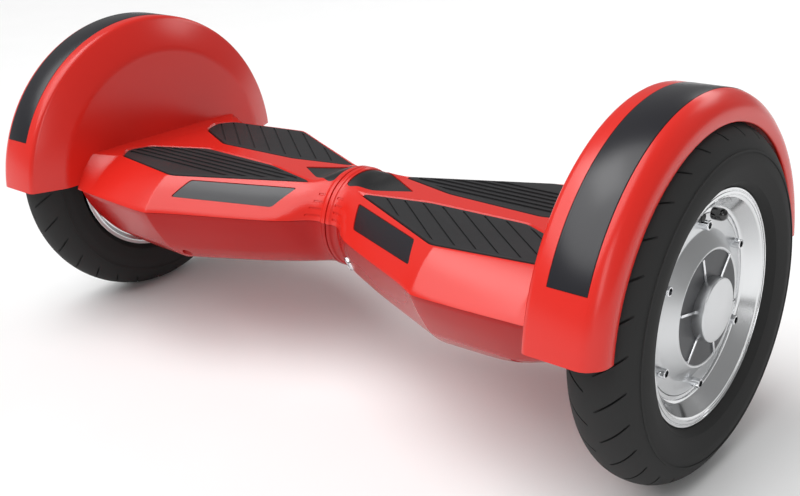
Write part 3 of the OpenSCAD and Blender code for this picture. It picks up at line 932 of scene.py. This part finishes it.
@dataclass(frozen=True)
class FenderForm:
    """Section of the fender, turned about the axle and cut off above the body's seam."""

    inner_x: float = 0.256
    crown_x: float = 0.269
    crown_end: float = 0.317
    lip_x: float = 0.322
    lip_r: float = 0.126
    wall: float = 0.003
    shoulder_r: float = 0.117
    hole_r: float = 0.0125
    strip_from: float = 0.281
    strip_to: float = 0.309
    strip_depth: float = 0.0012
    strip_low: float = 0.182

    def solid(self) -> BMesh:
        """The fender as a closed solid, with its wall down to the seam."""
        r = LAYOUT.crown_r
        outline = [
            (self.inner_x, self.hole_r, 0), (self.inner_x, self.shoulder_r, 0.004), (self.crown_x, r, 0.0035),
            (self.crown_end - 0.004, r, 0.005), (self.lip_x, r - 0.0105, 0.004), (self.lip_x, self.lip_r, 0.0012),
            (self.lip_x - 0.0030, self.lip_r, 0.0010),
            (self.lip_x - 0.0033, r - 0.009, 0.002), (self.crown_end - 0.0050, r - 0.0035, 0.002),
            (self.crown_x + 0.0015, r - 0.0035, 0.002),
            (self.inner_x + self.wall, self.shoulder_r - 0.0015, 0.003), (self.inner_x + self.wall, self.hole_r, 0)]
        return combine(lathe(outline, 180), [block((0.24, -0.2, -0.1), (0.34, 0.2, LAYOUT.fender_cut))], Cut.MINUS)

    def band(self, low_r: float, high_r: float, grow: float) -> BMesh:
        """A band over the crown.

        Args:
            low_r: Inner radius.
            high_r: Outer radius.
            grow: How far past the strip's own edges.

        Returns:
            The band.
        """
        start, end = self.strip_from - grow, self.strip_to + grow
        outline = [(start, low_r, 0), (start, high_r, 0.0004), (end, high_r, 0.0004), (end, low_r, 0)]
        bottom = block((0.24, -0.2, -0.1), (0.34, 0.2, self.strip_low - grow))
        return combine(lathe(outline, 180), [bottom], Cut.MINUS)


@dataclass
class Shells:
    """Both halves of the body: shells, trims and light panels."""

    hull: Hull = field(default_factory=Hull)
    fender: FenderForm = field(default_factory=FenderForm)
    wall: float = 0.003
    seam_gap: float = 0.0005
    lower_inset: float = 0.0008
    lower_end: float = 0.250
    panel_gap: float = 0.0004
    panel_depth: float = 0.0007
    panel_thick: float = 0.0018
    panel_corners: tuple[tuple[float, float], ...] = (
        (0.126, 0.031), (0.036, 0.0295), (0.047, 0.0165), (0.134, 0.0195))
    cap_corners: tuple[tuple[float, float], ...] = (
        (0.0075, -0.0205), (0.012, -0.0225), (0.032, -0.0165), (0.061, 0.0), (0.032, 0.0165), (0.012, 0.0225),
        (0.0075, 0.0205))
    screw_places: tuple[tuple[float, float], ...] = ((0.140, 0.078), (0.222, 0.084))
    screw_r: float = 0.0044
    screw_seat: float = 0.1035
    button_place: tuple[float, float] = (0.031, -0.0195)
    button_r: float = 0.0045
    button_gap: float = 0.0011
    bore: tuple[float, float] = (-0.02, 0.01)
    louvre: tuple[float, float, float] = (0.0065, 0.0110, 0.0054)
    louvre_count: int = 4
    louvre_half: float = 0.0008
    louvre_reach: float = 0.09
    louvre_end: float = 0.0205
    louvre_shorter: float = 0.0022
    louvre_deep: float = 0.0007
    seat: float = 0.0015
    core_start: float = -0.002
    core_end: float = 0.2578
    bezel_r: float = 0.0066
    bezel_gap: float = 0.0003

    def __post_init__(self) -> None:
        """Build the hull once and keep a tree of its surface."""
        self.outer = self.hull.solid()
        self.tree = BVHTree.FromBMesh(self.outer)
        self.hollow = self.hull.solid(self.wall, -0.001, 0.2578)

    def on_side(self, x: float, height: float, front: int) -> Vector:
        """Point of the hull's side at a height over the axle.

        Args:
            x: Place along X.
            height: Height over the axle.
            front: Sign of Y.

        Returns:
            The point.
        """
        start = Vector((x, 0.3 * front, LAYOUT.axle_z + height))
        return self.tree.ray_cast(start, Vector((0, -front, 0)))[0]

    def panel_prism(self, grow: float, front: int) -> BMesh:
        """Prism through a light panel's outline on the slope.

        Args:
            grow: How far outside the panel's own edge.
            front: Sign of Y.

        Returns:
            The prism, square to the slope.
        """
        corners = [self.on_side(x, h, front) for x, h in self.panel_corners]
        centre = sum(corners, Vector()) / len(corners)
        along = (corners[0] - corners[1]).normalized()
        normal = along.cross(corners[3] - corners[0]).normalized()
        if normal.y * front < 0:
            normal = -normal
        across = normal.cross(along)
        plan = [((p - centre).dot(along), (p - centre).dot(across)) for p in corners]
        turning = sum(a[0] * b[1] - a[1] * b[0] for a, b in zip(plan, plan[1:] + plan[:1]))
        plan = rounded(grown(plan if turning > 0 else plan[::-1], grow), 0.003)
        outline = [centre + along * u + across * v - normal * 0.012 for u, v in plan]
        return extruded(outline, normal * 0.03)

    def cap_prism(self, grow: float) -> BMesh:
        """Prism through the centre cap's outline, grown by a distance."""
        plan = rounded(grown(self.cap_corners, grow), 0.0025)
        return extruded(flat(plan, LAYOUT.deck - 0.02), Vector((0, 0, 0.06)))

    def core(self, inset: float) -> BMesh:
        """The inside of the hull at a depth, closed past both of its ends."""
        return self.hull.solid(inset, self.core_start, self.core_end)

    def inlay(self, prism: BMesh) -> BMesh:
        """A thin plate that follows the hull's surface inside a prism.

        Args:
            prism: The prism; it is used up.

        Returns:
            The plate, sunk a little under the surface.
        """
        plate = combine(prism, [self.hull.solid(self.panel_depth, -0.001)], Cut.WITHIN)
        return combine(plate, [self.core(self.panel_depth + self.panel_thick)], Cut.MINUS)

    def upper(self) -> BMesh:
        """The upper shell with its fender, trays and windows."""
        tray = [PADS.stacked([(PADS.floor - PADS.tray, 0.003), (0.19, 0.003)], f) for f in (-1, 1)]
        hollow = combine(copied(self.hollow), tray, Cut.MINUS)
        seats = [self.panel_prism(0.003, f) for f in (-1, 1)] + [self.cap_prism(0.003)]
        thick = self.core(self.panel_depth + self.panel_thick + self.seat)
        kept = [combine(seat, [copied(thick)], Cut.MINUS) for seat in seats]
        thick.free()
        hollow = combine(hollow, kept, Cut.MINUS)
        below = block((-0.01, -0.2, 0), (0.27, 0.2, LAYOUT.seam))
        shell = combine(copied(self.outer), [hollow, below], Cut.MINUS)
        shell = combine(shell, [self.fender.solid()], Cut.PLUS)
        chamfer = 0.0012
        top = LAYOUT.deck
        levels = [(PADS.floor, PADS.gap), (top - chamfer, PADS.gap), (top + 0.003, PADS.gap + chamfer + 0.003)]
        recess = [PADS.stacked(levels, f) for f in (-1, 1)]
        depth = self.panel_depth + self.panel_thick
        windows = [combine(self.panel_prism(self.panel_gap, f), [self.core(depth)], Cut.MINUS) for f in (-1, 1)]
        cap = combine(self.cap_prism(self.panel_gap), [self.core(depth)], Cut.MINUS)
        r = LAYOUT.crown_r
        groove = self.fender.band(r - self.fender.strip_depth, r + 0.003, 0.0003)
        bores = [self.plunger_bore(x, y * f) for x, y in PADS.plungers for f in (-1, 1)]
        shell = combine(shell, [*recess, *windows, cap, groove, merged(bores)], Cut.MINUS)
        return combine(shell, self.louvres(), Cut.MINUS)

    def louvres(self) -> list[BMesh]:
        """Shallow grooves over the seam beside the neck, shorter towards the top."""
        start, low, pitch = self.louvre
        grooves = []
        half, wide = self.louvre_half, self.louvre_reach
        for k in range(self.louvre_count):
            height = LAYOUT.axle_z + low + pitch * k
            end = self.louvre_end - self.louvre_shorter * k
            bar = block((start, -wide, height - half), (end, wide, height + half))
            grooves.append(combine(bar, [self.core(self.louvre_deep)], Cut.MINUS))
        return grooves

    @staticmethod
    def plunger_bore(x: float, y: float) -> BMesh:
        """Bore in a tray for a pad's plunger."""
        return upright(x, y, PADS.plunger_r + 0.0006, PADS.floor - 0.008, PADS.floor + 0.002)

    def lower(self) -> BMesh:
        """The lower shell with its hollow and its screw pockets."""
        body = self.hull.solid(self.lower_inset, None, self.lower_end)
        above = block((-0.01, -0.2, LAYOUT.seam - self.seam_gap), (0.27, 0.2, 0.3))
        hollow = self.hull.solid(self.wall + self.lower_inset, -0.001, self.lower_end - self.wall)
        posts = [upright(x, y * f, 0.0065, 0.07, 0.14) for x, y in self.screw_places for f in (-1, 1)]
        hollow = combine(hollow, [merged(posts)], Cut.MINUS)
        pockets = [upright(x, y * f, self.screw_r, 0.06, self.screw_seat) for x, y in self.screw_places
                   for f in (-1, 1)]
        shanks = [upright(x, y * f, 0.0023, self.screw_seat - 0.001, 0.15) for x, y in self.screw_places
                  for f in (-1, 1)]
        axle = lathe([(0.235, 0.0125, 0), (0.26, 0.0125, 0), (0.26, 0, 0), (0.235, 0, 0)], 48)
        return combine(body, [above, hollow, merged(pockets), merged(shanks), axle], Cut.MINUS)

    def on_button(self, radius: float, low: float, high: float, rounding: float = 0.0) -> BMesh:
        """A short cylinder square to the hull where the button sits.

        Args:
            radius: Its radius.
            low: Its inner end, from the hull's surface.
            high: Its outer end.
            rounding: Rounding of the outer edge.

        Returns:
            The cylinder.
        """
        x, height = self.button_place
        start = Vector((x, -0.3, LAYOUT.axle_z + height))
        place, normal = self.tree.ray_cast(start, Vector((0, 1, 0)))[:2]
        shape = upright(0, 0, radius, low, high, 56)
        if rounding:
            outer = [e for e in shape.edges if all(v.co.z > high - 1e-6 for v in e.verts)]
            bevel_edges(shape, outer, rounding)
        turn = normal.to_track_quat("Z", "Y").to_matrix().to_4x4()
        bmesh.ops.transform(shape, matrix=Matrix.Translation(place) @ turn, verts=shape.verts)
        return shape

    def power_button(self) -> None:
        """Make the power button and its bezel on the half on +X."""
        bezel = combine(self.on_button(self.bezel_r, -0.009, 0.0006, 0.0005),
                        [self.on_button(self.button_r + self.button_gap, *self.bore)], Cut.MINUS)
        Piece("bezel", "right_half", ("button_bezel",), "button_metal", Finishes.CHROME).place(bezel)
        Piece("button", "power_button", ("power_button",), "button_metal", Finishes.CHROME).place(
            self.on_button(self.button_r, -0.007, 0.0004, 0.0004))

    def build(self) -> None:
        """Make the shells and trims of both halves."""
        upper, lower = self.upper(), self.lower()
        panels = {f: self.inlay(self.panel_prism(0, f)) for f in (-1, 1)}
        cap = self.inlay(self.cap_prism(0))
        r = LAYOUT.crown_r
        strip = self.fender.band(r - self.fender.strip_depth + 0.0001, r + 0.0002, 0)
        for side in Side:
            turn = opposite if side is Side.LEFT else copied
            body, tag = f"{side.word}_half", side.word
            Piece(f"shell_{tag}", body, (f"upper_shell_{tag}", f"fender_{tag}"), "red_shell",
                  Finishes.SHELL).place(turn(upper))
            low = turn(lower)
            if side is Side.RIGHT:
                low = combine(low, [self.on_button(self.bezel_r + self.bezel_gap, *self.bore)], Cut.MINUS)
            if side is Side.LEFT:
                low = combine(low, [block((-0.042, -0.2, 0), (0.01, 0.2, 0.3))], Cut.MINUS)
            # The lower shell uses the darker red, which is painted shade for its downward-facing sides.
            Piece(f"keel_shell_{tag}", body, (f"lower_shell_{tag}",), "red_shell",
                  Finishes.SHELL_LOW).place(low)
            for front, word in ((-1, "front"), (1, "back")):
                Piece(f"light_panel_{word}_{tag}", body, (f"light_{word}_{tag}",), "black_panel",
                      Finishes.PANEL).place(turn(panels[front]))
            Piece(f"cap_{tag}", body, (f"centre_cap_{tag}",), "black_panel", Finishes.CAP).place(turn(cap))
            Piece(f"crown_strip_{tag}", body, (f"fender_strip_{tag}",), "black_panel",
                  Finishes.PANEL).place(turn(strip))
        self.sleeve(lower)
        self.power_button()

    def sleeve(self, lower: BMesh) -> None:
        """Make the neck's sleeve: the left end of the lower shells, one piece across the middle.

        Args:
            lower: The lower shell of the half on +X.
        """
        part = combine(opposite(lower), [block((-0.3, -0.2, 0), (-0.0424, 0.2, 0.3))], Cut.MINUS)
        # The sleeve uses the darker lower-shell red, which is painted shade for its downward-facing sides.
        Piece("sleeve", "left_half", ("neck_sleeve",), "red_shell", Finishes.SHELL_LOW).place(part)


def upright(x: float, y: float, radius: float, low: float, high: float, steps: int = 40) -> BMesh:
    """An upright cylinder.

    Args:
        x: Place along X.
        y: Place along Y.
        radius: Its radius.
        low: Its lower end.
        high: Its upper end.
        steps: Sides of its outline.

    Returns:
        The cylinder.
    """
    shape = bmesh.new()
    bmesh.ops.create_cone(shape, cap_ends=True, segments=steps, radius1=radius, radius2=radius,
                          depth=high - low)
    bmesh.ops.translate(shape, vec=(x, y, (low + high) / 2), verts=shape.verts)
    return shape


# ---------------------------------------------------------------- foot pads


class Tread(Enum):
    """Relief of a foot pad."""

    LENGTHWISE = "lengthwise"
    SLANTED = "slanted"


@dataclass(frozen=True)
class FootPads:
    """The four rubber foot pads with their ribs and plungers."""

    pitch: float = 0.0074
    step: float = 0.0205
    ridge: float = 0.0030
    groove: float = 0.0014
    deep: float = 0.0013
    margin: float = 0.0035
    slant: float = math.radians(37)

    def relief(self, tread: Tread, front: int, top: float) -> BMesh:
        """Grooves of a pad's relief.

        Args:
            tread: The relief's pattern.
            front: Sign of Y.
            top: Height of the pad's top.

        Returns:
            The grooves, cut off inside the pad's rim.
        """
        bars = []
        if tread is Tread.LENGTHWISE:
            for k in range(6):
                low = 0.018 + k * self.pitch
                bars.append(block((0, low, top - self.deep), (0.26, low + self.pitch - self.ridge, top + 0.002)))
        else:
            for k in range(12):
                bar = block((-0.12, -self.groove / 2, top - self.deep), (0.12, self.groove / 2, top + 0.002))
                turned(bar, self.slant, "Z", Vector((0, 0, 0)))
                bmesh.ops.translate(bar, vec=(k * self.step + 0.02, 0.045, 0), verts=bar.verts)
                bars.append(bar)
        whole = merged(bars)
        if front < 0:
            bmesh.ops.scale(whole, vec=(1, -1, 1), verts=whole.verts)
            bmesh.ops.reverse_faces(whole, faces=whole.faces)
        inside = PADS.stacked([(top - 0.003, -self.margin), (top + 0.003, -self.margin)], front)
        return combine(inside, [whole], Cut.WITHIN)

    def pad(self, tread: Tread, front: int) -> BMesh:
        """One pad of the half on +X.

        Args:
            tread: The relief's pattern.
            front: Sign of Y.

        Returns:
            The pad with its plungers.
        """
        top = LAYOUT.deck + 0.0008
        pad = PADS.stacked([(top - PADS.thick, -0.0002), (top - 0.0012, 0), (top - 0.0004, -0.0004),
                            (top, -0.0014)], front)
        pad = combine(pad, [self.relief(tread, front, top)], Cut.MINUS)
        rods = [upright(x, y * front, PADS.plunger_r, PADS.plunger_end, top - PADS.thick + 0.001)
                for x, y in PADS.plungers]
        return combine(pad, [merged(rods)], Cut.PLUS)

    def build(self) -> None:
        """Make the four pads."""
        for side in Side:
            for front, word in ((-1, "front"), (1, "back")):
                long_ribs = (side is Side.LEFT) == (front < 0)
                shape = self.pad(Tread.LENGTHWISE if long_ribs else Tread.SLANTED, front)
                node = f"pad_{word}_{side.word}"
                Piece(f"foot_{node}", node, (node,), "foot_rubber", Finishes.PAD).place(
                    opposite(shape) if side is Side.LEFT else shape)


# ---------------------------------------------------------------- wheels


@dataclass(frozen=True)
class Tyre:
    """Air tyre: a rounded carcass with slanted sipes on its shoulders."""

    belly_r: float = 0.098
    bead_r: float = 0.0838
    bead_x: float = 0.0182
    wall: float = 0.0065
    crown_power: float = 0.92
    sipes: int = 30
    sipe_wide: float = 0.0015
    sipe_long: float = 0.026
    sipe_deep: float = 0.0018
    ring_r: float = 0.1085
    hairs: int = 14

    def section(self, inset: float) -> list[tuple[float, float]]:
        """Half of the tyre's section, from one bead over the crown to the other.

        Args:
            inset: How far inside the outer surface.

        Returns:
            Points as (x from the wheel's middle, radius).
        """
        wide, tall = LAYOUT.wheel_half_w - inset, LAYOUT.tyre_r - self.belly_r - inset
        upper = []
        for k in range(33):
            a = math.pi * k / 32
            power = self.crown_power
            across = math.copysign(abs(math.cos(a)) ** power, math.cos(a))
            upper.append((wide * across, self.belly_r + tall * math.sin(a) ** power))
        low = self.bead_r + (0.0006 if inset else 0)
        foot = self.bead_x - (inset * 0.75)
        start = [(foot, low), (foot + (wide - foot) * 0.62, self.bead_r * 0.72 + self.belly_r * 0.28)]
        return start + upper + [(-x, r) for x, r in reversed(start)]

    def solid(self) -> BMesh:
        """The tyre as a closed ring."""
        outer = self.section(0)
        inner = self.section(self.wall)
        outline = [(LAYOUT.wheel_x + x, r, 0.0) for x, r in outer + inner[::-1]]
        return lathe(outline, 216)

    def cuts(self) -> BMesh:
        """The sipes of both shoulders."""
        bars = []
        for k in range(self.sipes):
            for sign in (-1, 1):
                bar = block((-self.sipe_long / 2, -self.sipe_wide / 2, -self.sipe_deep),
                            (self.sipe_long / 2, self.sipe_wide / 2, 0.006))
                bevel_edges(bar, [e for e in bar.edges if abs((e.verts[0].co - e.verts[1].co).z) > 0.004],
                            self.sipe_wide * 0.45, 2)
                bmesh.ops.rotate(bar, matrix=Matrix.Rotation(sign * 0.62, 3, "Z"), verts=bar.verts)
                bmesh.ops.rotate(bar, matrix=Matrix.Rotation(sign * 0.50, 3, "Y"), verts=bar.verts)
                bmesh.ops.translate(bar, vec=(sign * 0.0130, 0, self.belly_r + 0.0255), verts=bar.verts)
                bmesh.ops.rotate(bar, matrix=Matrix.Rotation(TAU * (k + 0.25 * sign) / self.sipes, 3, "X"),
                                 verts=bar.verts)
                bmesh.ops.translate(bar, vec=(LAYOUT.wheel_x, 0, LAYOUT.axle_z), verts=bar.verts)
                bars.append(bar)
        return merged(bars)

    def ridge(self) -> BMesh:
        """The raised line round the shoulder, where the mould's halves met the tread."""
        x = LAYOUT.wheel_x
        bands = []
        for sign in (-1, 1):
            across = x + sign * self.side_x(self.ring_r)
            bands.append(lathe([(across - 0.0008, self.ring_r - 0.0008, 0), (across + 0.0008, self.ring_r - 0.0008, 0),
                                (across + 0.0004 + sign * 0.0002, self.ring_r + 0.0007, 0),
                                (across - 0.0004 + sign * 0.0002, self.ring_r + 0.0007, 0)], 216))
        return merged(bands)

    def side_x(self, radius: float) -> float:
        """Half width of the carcass at a radius over its widest place."""
        share = min(1.0, (radius - self.belly_r) / (LAYOUT.tyre_r - self.belly_r))
        angle = math.asin(share ** (1 / self.crown_power))
        return LAYOUT.wheel_half_w * math.cos(angle) ** self.crown_power

    def mould_hairs(self) -> BMesh:
        """Small rubber hairs that the mould's vents left on the outer wall."""
        hairs = []
        for k in range(self.hairs):
            for radius, offset in ((self.ring_r, 0.0), (self.bead_r + 0.0012, 0.5)):
                across = self.side_x(radius) if radius > self.belly_r else self.bead_x + 0.0006
                hair = bmesh.new()
                bmesh.ops.create_cone(hair, cap_ends=True, segments=6, radius1=0.00032, radius2=0.00012, depth=0.007)
                lean = Matrix.Rotation(1.25 + 0.2 * math.sin(5.1 * k), 3, "X")
                bmesh.ops.rotate(hair, matrix=lean, verts=hair.verts)
                bmesh.ops.rotate(hair, matrix=Matrix.Rotation(0.35, 3, "Y"), verts=hair.verts)
                bmesh.ops.translate(hair, vec=(LAYOUT.wheel_x + across - 0.0004, 0, radius), verts=hair.verts)
                bmesh.ops.rotate(hair, matrix=Matrix.Rotation(TAU * (k + offset) / self.hairs, 3, "X"),
                                 verts=hair.verts)
                bmesh.ops.translate(hair, vec=(0, 0, LAYOUT.axle_z), verts=hair.verts)
                hairs.append(hair)
        return merged(hairs)

    def build(self) -> BMesh:
        """The finished tyre of the wheel on +X."""
        return merged([combine(self.solid(), [self.cuts()], Cut.MINUS), self.ridge(), self.mould_hairs()])


@dataclass(frozen=True)
class Wheel:
    """Hub-motor wheel: rim, bolted cover, hub cap and bolts."""

    outer_x: float = 0.3231
    inner_x: float = 0.28325
    rim_r: float = 0.0833
    seat_r: float = 0.0773
    bore_r: float = 0.066
    cover_r: float = 0.064
    cover_x: float = 0.311
    cover_t: float = 0.005
    cone_r: float = 0.053
    disc_r: float = 0.0406
    disc_x: float = 0.3200
    cap_r: float = 0.0225
    cap_x: float = 0.3270
    bolt_circle: float = 0.0585
    bolt_r: float = 0.0035
    bolt_long: float = 0.0065
    bolts: int = 6
    spoke_angle: float = math.radians(48)
    valve_r: float = 0.0658
    valve_angle: float = math.radians(85)
    valve_cap_r: float = 0.0044

    def around(self, shape: BMesh, radius: float, angle: float) -> BMesh:
        """Move a shape from the axle out to a radius and an angle, which grows from +Y towards +Z.

        Args:
            shape: The shape; it is changed.
            radius: Distance from the axle.
            angle: The angle.

        Returns:
            The same shape.
        """
        offset = (0, radius * math.cos(angle), radius * math.sin(angle))
        bmesh.ops.translate(shape, vec=offset, verts=shape.verts)
        return shape

    def rim(self) -> BMesh:
        """The rim with its lips, flange and valve notch."""
        x, r = self.outer_x, self.rim_r
        outline = [
            (x - 0.0020, r, 0.0006), (x, r, 0.0007), (x, r - 0.0018, 0.0002), (x - 0.0005, r - 0.0021, 0),
            (x - 0.0005, r - 0.0026, 0), (x - 0.0001, r - 0.0029, 0.0001), (x - 0.0002, r - 0.0046, 0.0002),
            (x - 0.0008, r - 0.0048, 0), (x - 0.0008, r - 0.0053, 0), (x - 0.0004, r - 0.0056, 0.0001),
            (x - 0.0012, r - 0.0072, 0.0003),
            (self.cover_x + 0.0010, 0.0690, 0.0008), (self.cover_x + 0.0004, 0.0672, 0.0002),
            (self.cover_x - 0.0004, 0.0670, 0), (self.cover_x - 0.0004, 0.0644, 0), (self.cover_x - 0.006, 0.0644, 0),
            (self.cover_x - 0.006, self.bore_r, 0),
            (self.inner_x + 0.0025, self.bore_r, 0), (self.inner_x + 0.0025, 0.076, 0.001),
            (self.inner_x, 0.0792, 0.0008), (self.inner_x, r, 0.0008), (self.inner_x + 0.0022, r, 0.0006),
            (self.inner_x + 0.0034, self.seat_r, 0.001), (x - 0.0050, self.seat_r + 0.001, 0.001)]
        start = self.cover_x + 0.0022
        notch = self.around(lathe([(start, 0, 0), (start, 0.0062, 0), (0.34, 0.0062, 0), (0.34, 0, 0)], 40),
                            self.valve_r + 0.0006, self.valve_angle)
        return combine(lathe(outline, 180), [notch], Cut.MINUS)

    def cover(self) -> BMesh:
        """The bolted outer cover with its conical dish."""
        x = self.cover_x
        outline = [
            (x, self.cover_r, 0.0005), (x, self.cone_r, 0.0008), (self.disc_x, self.disc_r + 0.0012, 0.0005),
            (self.disc_x - 0.0004, self.disc_r, 0.0002), (self.disc_x - 0.0009, self.disc_r - 0.0004, 0),
            (self.disc_x - 0.0009, 0.013, 0), (self.disc_x - 0.004, 0.013, 0),
            (self.disc_x - 0.004, self.disc_r - 0.001, 0.0004), (x - self.cover_t, self.cone_r - 0.001, 0.0004),
            (x - self.cover_t, self.cover_r, 0.0004)]
        return lathe(outline, 180)

    def spokes(self) -> BMesh:
        """Six raised spokes on the dish."""
        bars = []
        for k in range(self.bolts):
            bar = block((self.disc_x - 0.0008, self.cap_r - 0.001, -0.0011),
                        (self.disc_x + 0.0008, self.disc_r + 0.0004, 0.0011))
            bevel_edges(bar, sharp_edges(bar), 0.0005, 2)
            bmesh.ops.translate(bar, vec=(0, 0, LAYOUT.axle_z), verts=bar.verts)
            bars.append(turned(bar, self.spoke_angle + math.radians(60 * k)))
        return merged(bars)

    def dark_disc(self) -> BMesh:
        """The dark ring in the dish behind the spokes."""
        x = self.disc_x
        return lathe([(x - 0.00088, self.disc_r - 0.0005, 0), (x - 0.0006, self.disc_r - 0.0005, 0),
                      (x - 0.0006, self.cap_r - 0.001, 0), (x - 0.00088, self.cap_r - 0.001, 0)], 120)

    def hub_cap(self) -> BMesh:
        """The thick cap over the axle's end."""
        x, r = self.cap_x, self.cap_r
        outline = [(x, 0, 0), (x, r, 0.0008), (self.disc_x - 0.0008, r, 0.0003), (self.disc_x - 0.0008, 0, 0)]
        return lathe(outline, 144)

    def bolt(self) -> BMesh:
        """One socket bolt, on the axle's line."""
        start, end = self.cover_x - 0.0002, self.cover_x + self.bolt_long
        head = lathe([(start, 0, 0), (start, self.bolt_r, 0), (end, self.bolt_r, 0.0005), (end, 0, 0)], 40)
        socket = bmesh.new()
        bmesh.ops.create_cone(socket, cap_ends=True, segments=6, radius1=0.0027, radius2=0.0027, depth=0.008)
        bmesh.ops.rotate(socket, matrix=Matrix.Rotation(math.pi / 2, 3, "Y"), verts=socket.verts)
        bmesh.ops.translate(socket, vec=(end, 0, LAYOUT.axle_z), verts=socket.verts)
        return combine(head, [socket], Cut.MINUS)

    def bolt_ring(self) -> BMesh:
        """The bolts in their circle."""
        bolt = self.bolt()
        ring = [self.around(copied(bolt), self.bolt_circle, math.radians(30 + 60 * k))
                for k in range(self.bolts)]
        bolt.free()
        return merged(ring)

    def valve_cap(self) -> BMesh:
        """The tyre valve's cap."""
        r = self.valve_cap_r
        start, end = self.cover_x + 0.005, self.cover_x + 0.0155
        cap = lathe([(start, 0, 0), (start, r - 0.0004, 0.0003), (start + 0.001, r, 0.0004), (end - 0.0035, r, 0.0012),
                     (end - 0.0012, r * 0.74, 0.001), (end, r * 0.34, 0.0005), (end, 0, 0)], 48)
        return self.around(cap, self.valve_r, self.valve_angle)

    def build(self) -> None:
        """Make both wheels."""
        parts = (
            ("rim", ("rim",), "polished_aluminium", Finishes.RIM, self.rim()),
            ("cover", ("outer_cover",), "polished_aluminium", Finishes.SATIN, self.cover()),
            ("spokes", (), "polished_aluminium", Finishes.CHROME, self.spokes()),
            ("dish_ring", (), "polished_aluminium", Finishes.DARK_DISC, self.dark_disc()),
            ("hub_disc", ("hub_cap",), "polished_aluminium", Finishes.SATIN, self.hub_cap()),
            ("bolts", ("cover_bolts",), "plain_steel", Finishes.CHROME, self.bolt_ring()),
            ("valve", ("valve_cap",), "black_plastic", Finishes.GLOSS_CAP, self.valve_cap()),
            ("tread", ("tyre",), "tyre_rubber", Finishes.TYRE, Tyre().build()))
        for side in Side:
            for name, nodes, slot, finish, shape in parts:
                Piece(f"{name}_{side.word}", f"wheel_{side.word}", tuple(f"{n}_{side.word}" for n in nodes), slot,
                      finish).place(opposite(shape) if side is Side.LEFT else copied(shape))


# ---------------------------------------------------------------- stage


@dataclass(frozen=True)
class Stage:
    """Floor, lights, world and camera."""

    floor_half: float = 30.0
    eye: tuple[float, float, float] = (0.62392, -0.64850, 0.45002)
    yaw: float = math.radians(-41.79)
    pitch: float = math.radians(-21.19)
    roll: float = math.radians(-2.63)
    lens: float = 50.56
    sensor: float = 36.0
    shift_y: float = -0.0055
    sun_strength: float = 2.6
    sun_spread: float = math.radians(70)
    sun_turn: tuple[float, float, float] = (math.radians(24), math.radians(-16), 0)
    world_strength: float = 0.28

    def floor(self) -> None:
        """Lay the pale floor."""
        shape = bmesh.new()
        bmesh.ops.create_grid(shape, x_segments=1, y_segments=1, size=self.floor_half)
        mesh = bpy.data.meshes.new("floor")
        shape.to_mesh(mesh)
        shape.free()
        floor = bpy.data.objects.new("floor", mesh)
        bpy.context.scene.collection.objects.link(floor)
        mesh.materials.append(Finish("pale_floor", (0.93, 0.93, 0.93), 0.7, 0.04, 0.02, 60, 0.0001, wear=0.01,
                                     specular=0.2).material())
        floor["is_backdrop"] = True

    def light(self, name: str, place: Sequence[float], size: tuple[float, float], power: float) -> None:
        """Hang a soft rectangular light that looks at the board.

        Args:
            name: Its name.
            place: Where it hangs.
            size: Its width and height.
            power: Its power in watts.
        """
        data = bpy.data.lights.new(name, "AREA")
        data.shape = "RECTANGLE"
        data.size, data.size_y = size
        data.energy = power
        lamp = bpy.data.objects.new(name, data)
        lamp.location = place
        lamp.rotation_mode = "QUATERNION"
        lamp.rotation_quaternion = (Vector((0, 0, 0.12)) - Vector(place)).to_track_quat("-Z", "Y")
        bpy.context.scene.collection.objects.link(lamp)
        lamp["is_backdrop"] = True

    def sun(self) -> None:
        """Hang the broad light that keeps the floor evenly white."""
        data = bpy.data.lights.new("sky", "SUN")
        data.energy = self.sun_strength
        data.angle = self.sun_spread
        lamp = bpy.data.objects.new("sky", data)
        lamp.rotation_euler = self.sun_turn
        bpy.context.scene.collection.objects.link(lamp)
        lamp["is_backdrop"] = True

    def camera(self) -> None:
        """Set the camera up."""
        forward = Vector((math.sin(self.yaw) * math.cos(self.pitch), math.cos(self.yaw) * math.cos(self.pitch),
                          math.sin(self.pitch)))
        right = Vector((math.cos(self.yaw), -math.sin(self.yaw), 0))
        up = right.cross(forward)
        rolled_right = right * math.cos(self.roll) + up * math.sin(self.roll)
        rolled_up = up * math.cos(self.roll) - right * math.sin(self.roll)
        data = bpy.data.cameras.new("camera")
        data.sensor_width = self.sensor
        data.lens = self.lens
        data.shift_y = self.shift_y
        data.clip_start, data.clip_end = 0.01, 100
        camera = bpy.data.objects.new("camera", data)
        turn = Matrix((rolled_right, rolled_up, -forward)).transposed()
        camera.matrix_world = Matrix.Translation(self.eye) @ turn.to_4x4()
        bpy.context.scene.collection.objects.link(camera)
        bpy.context.scene.camera = camera

    def build(self) -> None:
        """Set the whole stage."""
        self.floor()
        self.light("key", (-0.8, -0.5, 2.3), (1.0, 0.7), 5)
        self.light("side", (2.0, -1.5, 1.0), (0.7, 1.2), 7)
        self.light("back", (0.3, 1.9, 1.4), (1.6, 0.5), 7)
        self.sun()
        world = bpy.data.worlds.new("world")
        world.use_nodes = True
        world.node_tree.nodes["Background"].inputs["Color"].default_value = (1, 1, 1, 1)
        world.node_tree.nodes["Background"].inputs["Strength"].default_value = self.world_strength
        scene = bpy.context.scene
        scene.world = world
        scene.view_settings.view_transform = "Standard"
        self.camera()


def main() -> None:
    """Build and dress the board, then set the stage."""
    logging.basicConfig(level=logging.INFO, format="%(name)s: %(message)s")
    Shells().build()
    FootPads().build()
    Wheel().build()
    dress_carried()
    Stage().build()


if __name__ == "__main__":
    main()
